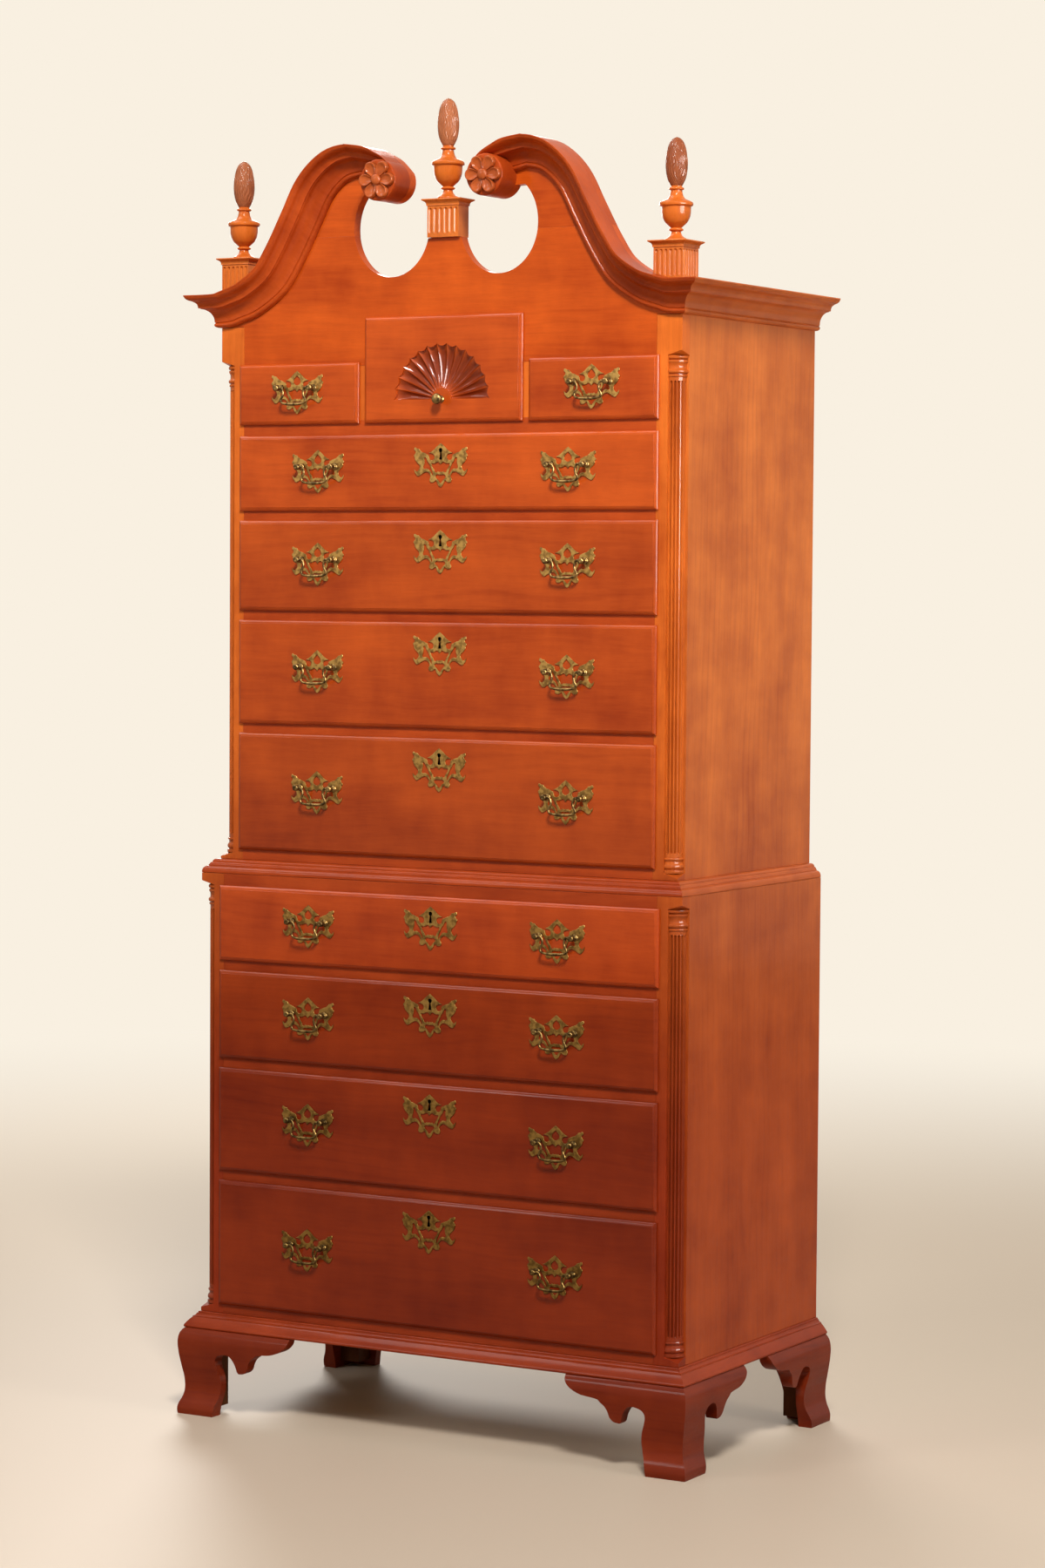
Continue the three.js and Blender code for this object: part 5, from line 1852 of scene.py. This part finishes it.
    def post_model(self) -> Piece:
        """Make the post that holds one end of a bail: a collar, a shank and a ball."""
        length, ball = self.post_length, self.ball
        profile = drawn([
            [(0.0, -0.001)], [(0.0058, -0.001)], [(0.0062, 0.0026), (0.0052, 0.0042)],
            [(0.0034, 0.0048), (0.0030, 0.0068), (0.0034, length - ball)],
            [(0.0052, length - 0.0042), (ball, length), (0.0052, length + 0.0042), (0.0026, length + 0.0058)],
            [(0.0012, length + ball), (0.0, length + ball + 0.0002)],
        ], 3)
        post = spun("post_model", profile, 18)
        post.data.transform(TO_FRONT)
        return post

    def bail_model(self) -> Piece:
        """Make a swan-necked bail about its own hinge axis, thickest at the bottom."""
        half = smooth([
            (0.0296, 0.0), (0.0272, 0.0006), (0.0243, -0.0004), (0.0222, -0.0042), (0.0212, -0.0098),
            (0.0226, -0.0150), (0.0252, -0.0192), (0.0256, -0.0232), (0.0228, -0.0264), (0.0170, -0.0280),
            (0.0090, -0.0288), (0.0, -0.0290),
        ], 3)
        path = [*half, *[(-x, z) for x, z in reversed(half[:-1])]]
        rings = []
        sides, thin, swelling, eye = 12, 0.0021, 0.0008, 0.0005
        for index, (x, z) in enumerate(path):
            ahead, behind = path[min(index + 1, len(path) - 1)], path[max(index - 1, 0)]
            along = Vector((ahead[0] - behind[0], 0, ahead[1] - behind[1])).normalized()
            belly = math.exp(-(x / 0.014) ** 2) if z < -0.020 else 0.0
            at_post = abs(x) > 0.0262 and z > -0.002
            radius = thin + swelling * belly + (eye if at_post else 0.0)
            ring = []
            for side in range(sides):
                angle = math.tau * side / sides
                across = radius * math.cos(angle)
                ring.append(Vector((x - along.z * across, radius * math.sin(angle), z + along.x * across)))
            rings.append(ring)
        return loft("bail_model", rings)

    def at(self, model: Piece, name: str, x: float, y: float, z: float) -> Piece:
        """Place a copy of a model."""
        return copied(model, name, Matrix.Translation((x, y, z)))

    def clear_models(self) -> None:
        """Throw the models away once every copy is placed."""
        for model in self.models:
            bpy.data.objects.remove(model, do_unlink=True)


@dataclass
class Drawer(Assembly):
    """A lipped drawer: its front, its dovetailed box, and its brasses."""

    brasses: Brasses
    name: str
    case: CaseSize
    pulls: tuple[float, ...]
    keyed: bool
    lip: float = 0.0085
    gap: float = 0.0003
    thumb: float = 0.0045
    inset: float = 0.0062
    play: float = 0.0015
    plug: float = 0.014
    side: float = 0.012
    side_drop: float = 0.010
    bottom_rise: float = 0.006
    bottom: float = 0.008
    tail_length: float = 0.010
    tail_pitch: float = 0.032
    proud: float = 0.0002
    pull_rise: float = 0.0025
    keyhole_drop: float = 0.055
    lock_half: float = 0.036
    lock_set: float = 0.0036
    keyhole_room: float = 0.0024
    # How much lighter or darker this front is painted, as painted light.
    light: float = 1.0

    def __post_init__(self) -> None:
        """Read the drawer's place from its node."""
        self.low, self.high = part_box(self.name)
        self.face = self.case.front - self.lip
        self.label = self.name.replace("drawer_", "")

    def build(self) -> None:
        """Build the whole drawer."""
        front = self.front()
        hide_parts(self.name)
        self.shop.wooden(front, Wood.FRONT, Grain.ALONG_X, body=self.name, light=self.light)
        self.build_box()
        self.build_brasses()

    def front(self) -> Piece:
        """Make the lipped front, with a thumbnail edge and a keyhole."""
        profile = [(self.case.front - self.gap, 0.0)] + [
            (self.face + depth, inset) for inset, depth in drawn([
                [(0.0, self.thumb + 0.0002)],
                [(0.0008, self.thumb - 0.0009), (0.0032, 0.0017), (self.inset - 0.0004, 0.0005)],
                [(self.inset, 0.0)],
            ], 3)
        ]
        rings = []
        for y, inset in profile:
            x0, x1 = self.low.x + inset, self.high.x - inset
            z0, z1 = self.low.z + inset, self.high.z - inset
            rings.append([Vector((x, y, z)) for x, z in ((x0, z0), (x1, z0), (x1, z1), (x0, z1))])
        return cut(loft(f"front_{self.label}", rings), *self.cutters())

    def cutters(self) -> list[Piece]:
        """Make the cutter for the keyhole, long enough for the board behind the lip too."""
        if not self.keyed:
            return []
        brasses, middle = self.brasses, self.high.z - self.keyhole_drop
        outline = [
            Vector((x * brasses.half_width, self.face - OVERRUN, middle + z * brasses.half_height))
            for x, z in brasses.keyhole_outline(self.keyhole_room)
        ]
        return [slab("keyhole", outline, Vector((0, OVERRUN + self.lip + self.plug - 0.004, 0)))]

    def build_box(self) -> None:
        """Build the plug behind the lip, two dovetailed sides, the back and the bottom."""
        x0 = self.low.x + LIP_OVERLAP + self.play
        x1 = self.high.x - LIP_OVERLAP - self.play
        floor = self.low.z + LIP_OVERLAP + self.gap
        plug_top = self.high.z - LIP_OVERLAP - self.play
        side_top = self.high.z - LIP_OVERLAP - self.side_drop
        front, back = self.case.front, self.high.y
        plug = board(
            f"plug_{self.label}", (x0 + self.proud, front - self.gap, floor),
            (x1 - self.proud, front + self.plug, plug_top), 0.0004,
        )
        cut(plug, *self.cutters())
        self.shop.wooden(plug, Wood.FRONT, Grain.ALONG_X, body=self.name)
        outline = self.side_outline(front, back, floor, side_top)
        right = slab(f"side_{self.label}_right", [Vector((x1 - self.side, y, z)) for y, z in outline],
                     Vector((self.side, 0, 0)))
        left = copied(right, f"side_{self.label}_left", Matrix.Translation((x0 - x1 + self.side, 0, 0)))
        for piece in (right, left):
            self.shop.wooden(piece, Wood.POPLAR, Grain.ALONG_Y, body=self.name)
        bottom_z = floor + self.bottom_rise
        inner0, inner1 = x0 + self.side, x1 - self.side
        bottom = board(
            f"bottom_{self.label}", (inner0, front + self.plug, bottom_z),
            (inner1, back - self.side, bottom_z + self.bottom), 0.0004,
        )
        rear = board(
            f"rear_{self.label}", (inner0, back - self.side, floor),
            (inner1, back - self.proud, side_top), 0.0008,
        )
        self.shop.wooden(bottom, Wood.POPLAR, Grain.ALONG_X, body=self.name)
        self.shop.wooden(rear, Wood.POPLAR, Grain.ALONG_X, body=self.name)

    def side_outline(self, front: float, back: float, floor: float, top: float) -> list[Pair]:
        """Give a side's outline, with dovetails at its front end.

        Args:
            front: The front of the board behind the lip.
            back: The side's back end.
            floor: Its lower edge.
            top: Its upper edge.

        Returns:
            The outline.
        """
        root = front + self.plug
        tip = root - self.tail_length
        tails = max(int((top - floor) / self.tail_pitch), 1)
        pitch = (top - floor) / tails
        wide, narrow = pitch * 0.36, pitch * 0.26
        outline = [(root, top)]
        for index in reversed(range(tails)):
            middle = floor + (index + 0.5) * pitch
            outline += [
                (root, middle + narrow), (tip, middle + wide), (tip, middle - wide), (root, middle - narrow),
            ]
        return [*outline, (root, floor), (back, floor), (back, top)]

    def build_brasses(self) -> None:
        """Build the plates and posts as one piece, and each bail on its own body."""
        middle = (self.low.z + self.high.z) / 2 + self.pull_rise
        brasses, plates, posts = self.brasses, [], []
        axis = middle + brasses.post_rise
        for index, x in enumerate(self.pulls):
            plates.append(brasses.at(brasses.pull_plate, "plate", x, self.face, middle))
            for side in (-1, 1):
                offset = side * brasses.post_spacing / 2
                posts.append(brasses.at(brasses.post, "post", x + offset, self.face, axis))
            hand = "" if len(self.pulls) == 1 else ("_left", "_right")[index]
            node = f"bail_{self.label}{hand}"
            bail = brasses.at(brasses.bail, f"swinging_{node}", x, self.face - brasses.post_length, axis)
            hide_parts(node)
            self.shop.brazen(bail, node, dark=True)
        if self.keyed:
            middle = self.high.z - self.keyhole_drop
            plates.append(brasses.at(brasses.key_plate, "plate", 0.0, self.face, middle))
            lock = board(
                f"lock_{self.label}",
                (-self.lock_half, self.face + self.lock_set, middle - self.lock_half),
                (self.lock_half, self.face + self.lip + self.plug - self.lock_set, middle + self.lock_half),
            )
            self.shop.locked(lock, self.name)
        if plates:
            self.shop.brazen(fused(f"plates_{self.label}", plates), self.name, shade=18)
            self.shop.brazen(fused(f"posts_{self.label}", posts), self.name, dark=True)


@dataclass
class FanDrawer(Drawer):
    """The deep middle drawer, with a half-round fan carved into its front and a brass knob."""

    radius: float = 0.097
    hub: float = 0.020
    rise: float = 0.0395
    lobes: int = 15
    samples: int = 12
    steps: int = 26
    sag: float = 0.05
    bed: float = 0.0118
    knob_radius: float = 0.0095
    knob_length: float = 0.022
    fit: float = 0.0001
    scoop: float = 0.0014
    scoop_gain: float = 0.0036
    # Where the fan's painted shade begins and where it is full, as shares of its bed.
    hollow_shade_start: float = 0.1
    wax_end: float = 0.7

    def cutters(self) -> list[Piece]:
        """Make the cutter for the bed of the fan, which goes through the lip into the board behind it."""
        stations = self.lobes * self.samples + 1
        rim = [self.on_fan(index, self.radius + self.fit, 1.0) for index in range(stations)]
        hub = [(self.hub * math.cos(angle), self.hub * math.sin(angle))
               for angle in (math.pi * step / 24 for step in range(24, -1, -1))]
        middle = self.low.z + self.rise
        outline = [Vector((x, self.face - OVERRUN, middle + z)) for x, z in [*rim, *hub]]
        return [slab("bed", outline, Vector((0, OVERRUN + self.bed, 0)))]

    def across(self, index: int) -> float:
        """Give how far a station round the fan is from the middle of its flute, from 0 to 1 on a ridge."""
        return abs((index % self.samples) / self.samples * 2 - 1)

    def on_fan(self, index: int, radius: float, scallop: float) -> Pair:
        """Place a station on a half circle whose flutes sag inwards between the ridges.

        Args:
            index: The station's number.
            radius: The half circle's radius.
            scallop: How much of the full sag it has.

        Returns:
            The place, across and up from the middle of the fan's foot.
        """
        angle = math.pi * index / (self.lobes * self.samples)
        reach = radius * (1 - scallop * self.sag * (1 - self.across(index) ** 2))
        return reach * math.cos(angle), reach * math.sin(angle)

    def build(self) -> None:
        """Build the drawer, the carved fan and the knob."""
        super().build()
        fan = loft("carved_fan", self.sections())
        self.shop.wooden(
            fan, Wood.FAN, Grain.ALONG_X, body=self.name, shade=50,
            hollow=PaintedHollowShade(self.face + self.bed * self.hollow_shade_start, self.face + self.bed * self.wax_end),
        )
        length = self.knob_length
        knob = spun("fan_knob", drawn([
            [(0.0, -0.001)], [(0.0058, -0.001)], [(0.0060, 0.0012), (0.0050, 0.0026)],
            [(0.0040, 0.0040), (0.0036, 0.0070), (0.0050, 0.0098)],
            [(0.0080, 0.0125), (self.knob_radius, 0.0160), (0.0082, 0.0196), (0.0045, length - 0.0002)],
            [(0.0, length)],
        ], 4), 40)
        knob.data.transform(Matrix.Translation((0, self.face, self.low.z + self.rise)) @ TO_FRONT)
        self.shop.brazen(knob, self.name, dark=True)

    def sections(self) -> list[Ring]:
        """Give sections round the fan, each from the hub over the dished face to the rim and back."""
        middle = self.low.z + self.rise
        floor = self.face + self.bed + self.gap
        dish = smooth([
            (0.0010, 0.0), (0.0038, 0.10), (0.0060, 0.32), (0.0061, 0.56), (0.0044, 0.78), (0.0003, 1.0),
        ], 4)
        rings = []
        for index in range(self.lobes * self.samples + 1):
            hollow = 1 - self.across(index) ** 2
            ring = []
            for step in range(self.steps + 1):
                share = step / self.steps
                radius = self.hub + (self.radius - self.hub) * share
                x, z = self.on_fan(index, radius, share ** 5)
                scoop = self.scoop + self.scoop_gain * math.sin(math.pi / 2 * min(share * 1.3, 1.0))
                ring.append(Vector((x, self.face + level_on(dish, share) + scoop * hollow, middle + z)))
            for point in (ring[-1], ring[0]):
                ring.append(Vector((point.x, floor, point.z)))
            rings.append(ring)
        return rings


# Studio


@dataclass
class Studio:
    """A pale floor, soft light from the upper right, and the camera."""

    eye: tuple[float, float, float] = (3.5156, -6.03855, 1.5149)
    yaw: float = 29.974
    pitch: float = 3.028
    roll: float = 0.380
    lens: float = 89.68
    sensor: float = 36.0
    floor_radius: float = 9.0
    lamp_colour: tuple[float, float, float] = (1.0, 0.975, 0.94)
    wall_colour: Colour = srgb(249, 240, 225)
    floor_colour: Colour = srgb(192, 176, 157)

    def build(self) -> None:
        """Build the camera, the floor, the lamps and the world."""
        self.build_camera()
        self.build_floor()
        self.build_world()
        self.lamp("key", (3.0, -4.4, 6.0), (0.0, 0.0, 1.2), (1.3, 1.3), 550.0)
        self.lamp("fill", (-3.2, -5.0, 4.2), (0.0, 0.0, 1.2), (1.6, 1.6), 70.0)
        self.lamp("window", (5.0, -0.6, 2.2), (0.4, 0.0, 1.2), (1.2, 1.2), 66.0)
        self.lamp("back", (-3.4, 4.4, 3.2), (0.0, 0.0, 1.2), (2.0, 2.0), 190.0)
        sheen = self.lamp("sheen", (3.9, -1.2, 2.45), (0.0, 0.0, 1.6), (2.2, 2.0), 480.0)
        ceiling = self.lamp("ceiling", (-2.0, -0.6, 4.9), (0.0, -0.3, 1.4), (2.4, 2.4), 120.0)
        for lamp in (sheen, ceiling):
            lamp.visible_diffuse = False

    def build_camera(self) -> None:
        """Place the camera where the photograph was taken."""
        yaw, pitch, roll = (math.radians(angle) for angle in (self.yaw, self.pitch, self.roll))
        ahead = Vector((-math.sin(yaw) * math.cos(pitch), math.cos(yaw) * math.cos(pitch), -math.sin(pitch)))
        level = Vector((math.cos(yaw), math.sin(yaw), 0))
        upright = level.cross(ahead)
        right = math.cos(roll) * level + math.sin(roll) * upright
        up = right.cross(ahead)
        data = bpy.data.cameras.new("camera")
        data.sensor_fit = "AUTO"
        data.sensor_width = self.sensor
        data.lens = self.lens
        camera = bpy.data.objects.new("camera", data)
        turn = Matrix((right, up, -ahead)).transposed().to_4x4()
        camera.matrix_world = Matrix.Translation(self.eye) @ turn
        bpy.context.collection.objects.link(camera)
        bpy.context.scene.camera = camera

    def build_floor(self) -> None:
        """Lay a round floor that fades into the background away from the chest."""
        clear_selection()
        bpy.ops.mesh.primitive_circle_add(vertices=128, radius=self.floor_radius, fill_type="NGON")
        floor = added("floor")
        material, sheet, shader = blank_material("pale_floor")
        output = material.node_tree.nodes["Material Output"]
        shader.inputs["Base Color"].default_value = self.floor_colour
        shader.inputs["Roughness"].default_value = 0.50
        shader.inputs["Specular IOR Level"].default_value = 0.12
        place = sheet.add("TexCoord").outputs["Object"]
        away = sheet.vector("LENGTH", place).outputs["Value"]
        fade = sheet.ranged(away, 1.8, 6.0, 0.0, 1.0, soft=True)
        backdrop = sheet.add("Emission", {"Color": self.wall_colour, "Strength": 1.0})
        path = sheet.add("LightPath").outputs["Is Camera Ray"]
        share = sheet.maths("MULTIPLY", fade, path)
        blend = sheet.add("MixShader", {0: share, 1: shader.outputs[0], 2: backdrop.outputs[0]})
        sheet.tree.links.new(blend.outputs[0], output.inputs["Surface"])
        floor.data.materials.append(material)

    def build_world(self) -> None:
        """Make the background pale, and the light from all around soft and plain."""
        world = bpy.data.worlds.new("room")
        world.use_nodes = True
        bpy.context.scene.world = world
        sheet = Sheet(world.node_tree)
        output = world.node_tree.nodes["World Output"]
        light = sheet.add("Background", {"Color": (1.0, 0.98, 0.95, 1.0), "Strength": 0.15})
        seen = sheet.add("Background", {"Color": self.wall_colour, "Strength": 1.0})
        path = sheet.add("LightPath")
        seen_rays = [path.outputs[f"Is {kind} Ray"] for kind in ("Camera", "Glossy", "Transmission")]
        share = sheet.maths("MAXIMUM", sheet.maths("MAXIMUM", *seen_rays[:2]), seen_rays[2])
        blend = sheet.add("MixShader", {0: share, 1: light.outputs[0], 2: seen.outputs[0]})
        sheet.tree.links.new(blend.outputs[0], output.inputs["Surface"])

    def lamp(self, name: str, place: Sequence[float], target: Sequence[float], size: Pair,
             power: float) -> bpy.types.Object:
        """Hang one large soft lamp and aim it.

        Args:
            name: The lamp's name.
            place: Where it hangs.
            target: Where it points.
            size: Its width and height.
            power: Its power in watts.

        Returns:
            The lamp.
        """
        data = bpy.data.lights.new(name, "AREA")
        data.shape = "RECTANGLE"
        data.size, data.size_y = size
        data.energy = power
        data.color = self.lamp_colour
        lamp = bpy.data.objects.new(name, data)
        lamp.location = place
        lamp.rotation_euler = (Vector(target) - Vector(place)).to_track_quat("-Z", "Y").to_euler()
        lamp.visible_camera = False
        bpy.context.collection.objects.link(lamp)
        return lamp


def moulding_profiles(base_reach: float, base_height: float) -> tuple[list[Pair], list[Pair]]:
    """Give the sections of the base moulding and the waist moulding.

    Args:
        base_reach: How far the base moulding stands out.
        base_height: Its height.

    Returns:
        The base section in metres, and the waist section as shares of its reach and height.
    """
    base = drawn([
        [(-0.6, 0.0)], [(0.94, 0.0)], [(0.99, 0.04), (1.0, 0.11), (0.97, 0.17)],
        [(0.84, 0.32), (0.68, 0.47), (0.53, 0.60)], [(0.47, 0.64)], [(0.47, 0.70)],
        [(0.37, 0.73), (0.27, 0.80), (0.235, 0.885)], [(0.15, 0.90)],
        [(0.15, 0.94), (0.11, 0.985), (0.03, 1.0)], [(-0.6, 1.0)],
    ])
    waist = drawn([
        [(0.0, 0.0)], [(0.975, 0.0)], [(1.0, 0.05), (0.985, 0.19), (0.93, 0.33), (0.82, 0.44), (0.69, 0.49)],
        [(0.64, 0.50)], [(0.64, 0.575)], [(0.60, 0.60), (0.545, 0.70), (0.47, 0.755)], [(0.43, 0.76)],
        [(0.43, 0.82)], [(0.385, 0.90), (0.29, 0.965), (0.16, 1.0)], [(0.0, 1.0)],
    ])
    return scaled(base, base_reach, base_height), waist


def build_mouldings(shop: Workshop, upper: CaseSize, lower: CaseSize) -> None:
    """Build the base moulding and the waist moulding.

    Args:
        shop: The finishes.
        upper: The upper case.
        lower: The lower case.
    """
    low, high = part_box("base_moulding")
    base, waist = moulding_profiles(high.x - lower.half, high.z - low.z)
    RunningMoulding(
        shop, "base_strip", "base_moulding", lower.half, lower.front, lower.back, base, low.z,
    ).build()
    low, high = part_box("waist_moulding")
    side_step, front_step, height = lower.half - upper.half, upper.front - lower.front, high.z - low.z
    tuck = 0.012
    rings = {}
    for key, side, at_front in (("left", -1, 1), ("right", 1, 1), ("back", 1, 0)):
        rings[key] = [
            Vector((
                side * (upper.half - tuck * (share == 0) + share * side_step),
                (upper.front + tuck * (share == 0) - share * front_step) if at_front else upper.back,
                low.z + rise * height,
            ))
            for share, rise in waist
        ]
    front = loft("waist_strip_front", [rings["left"], rings["right"]])
    right = loft("waist_strip_right", [rings["right"], rings["back"]])
    shop.wooden(front, Wood.MOULDING, Grain.ALONG_X)
    shop.both_sides(right, Wood.TRIM, Grain.ALONG_Y)
    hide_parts("waist_moulding")


def dress_frame_nodes(shop: Workshop, frame: dict) -> None:
    """Give the frame's own nodes that stay in sight their wood.

    Args:
        shop: The finishes.
        frame: The loaded frame.
    """
    sides = [f"{case}_side_{side}" for case in ("upper", "lower") for side in ("left", "right")]
    kept = dict.fromkeys(sides, (Wood.CASE, Grain.ALONG_Z))
    kept["upper_bottom"] = (Wood.POPLAR, Grain.ALONG_X)
    for seed, (name, (wood, grain)) in enumerate(kept.items()):
        low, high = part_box(name)
        material = shop.wood.material(wood, grain, (low + high) / 2, seed + 3)
        for slot in frame["nodes"][name].material_slots:
            slot.material = material
        log.info("%s keeps its shape and takes %s", name, material.name)


def build_drawers(shop: Workshop, upper: CaseSize, lower: CaseSize) -> None:
    """Build all eleven drawers and their brasses.

    Args:
        shop: The finishes.
        upper: The upper case.
        lower: The lower case.
    """
    brasses = Brasses()
    pull = 0.253
    # Each drawer front is painted lighter or darker to follow how the light falls on it: painted light.
    lights = {"lower": (1.20, 0.92, 0.92, 0.90), "upper": (0.96, 0.86, 0.90, 0.84)}
    for case in (lower, upper):
        for number, light in enumerate(lights[case.name], start=1):
            name = f"drawer_{case.name}_{number}"
            Drawer(shop, brasses, name, case, (-pull, pull), True, light=light).build()
    for side in ("left", "right"):
        name = f"drawer_small_{side}"
        low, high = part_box(name)
        Drawer(shop, brasses, name, upper, ((low.x + high.x) / 2,), False).build()
    FanDrawer(shop, brasses, "drawer_fan", upper, (), False).build()
    brasses.clear_models()


def main() -> None:
    """Build the studio and the chest around the frame."""
    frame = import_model()
    bpy.context.scene.view_settings.view_transform = "Standard"
    Studio().build()
    shop = Workshop()
    upper, lower = CaseSize.of("upper"), CaseSize.of("lower")
    dress_frame_nodes(shop, frame)
    row_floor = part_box("drawer_fan")[0].z + LIP_OVERLAP
    for case, top_rail_top in ((lower, lower.top), (upper, row_floor)):
        drawers = tuple(f"drawer_{case.name}_{number}" for number in (4, 3, 2, 1))
        FaceFrame(shop, case, drawers, top_rail_top).build()
    TopRowDividers(shop, upper).build()
    for case in (upper, lower):
        QuarterColumn(shop, case).build()
    build_mouldings(shop, upper, lower)
    CaseBoards(shop, upper, lower).build()
    Pediment(shop, upper).build()
    Rosette(shop).build()
    Plinth(shop, "centre_plinth", "fluted_centre_plinth", side_flutes=False).build()
    right_plinth = Plinth(shop, "corner_plinth_right", "fluted_plinth_right", side_flutes=True).build()
    left_plinth = mirrored(right_plinth)
    shop.wooden(left_plinth, Wood.PLINTH, Grain.ALONG_Z, shade=30)
    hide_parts("corner_plinth_left")
    for node in ("centre_finial", "left_finial", "right_finial"):
        Finial(shop, node).build()
    BracketFeet(shop, lower).build()
    build_drawers(shop, upper, lower)
    log.info("%d pieces built", shop.count)


if __name__ == "__main__":
    main()
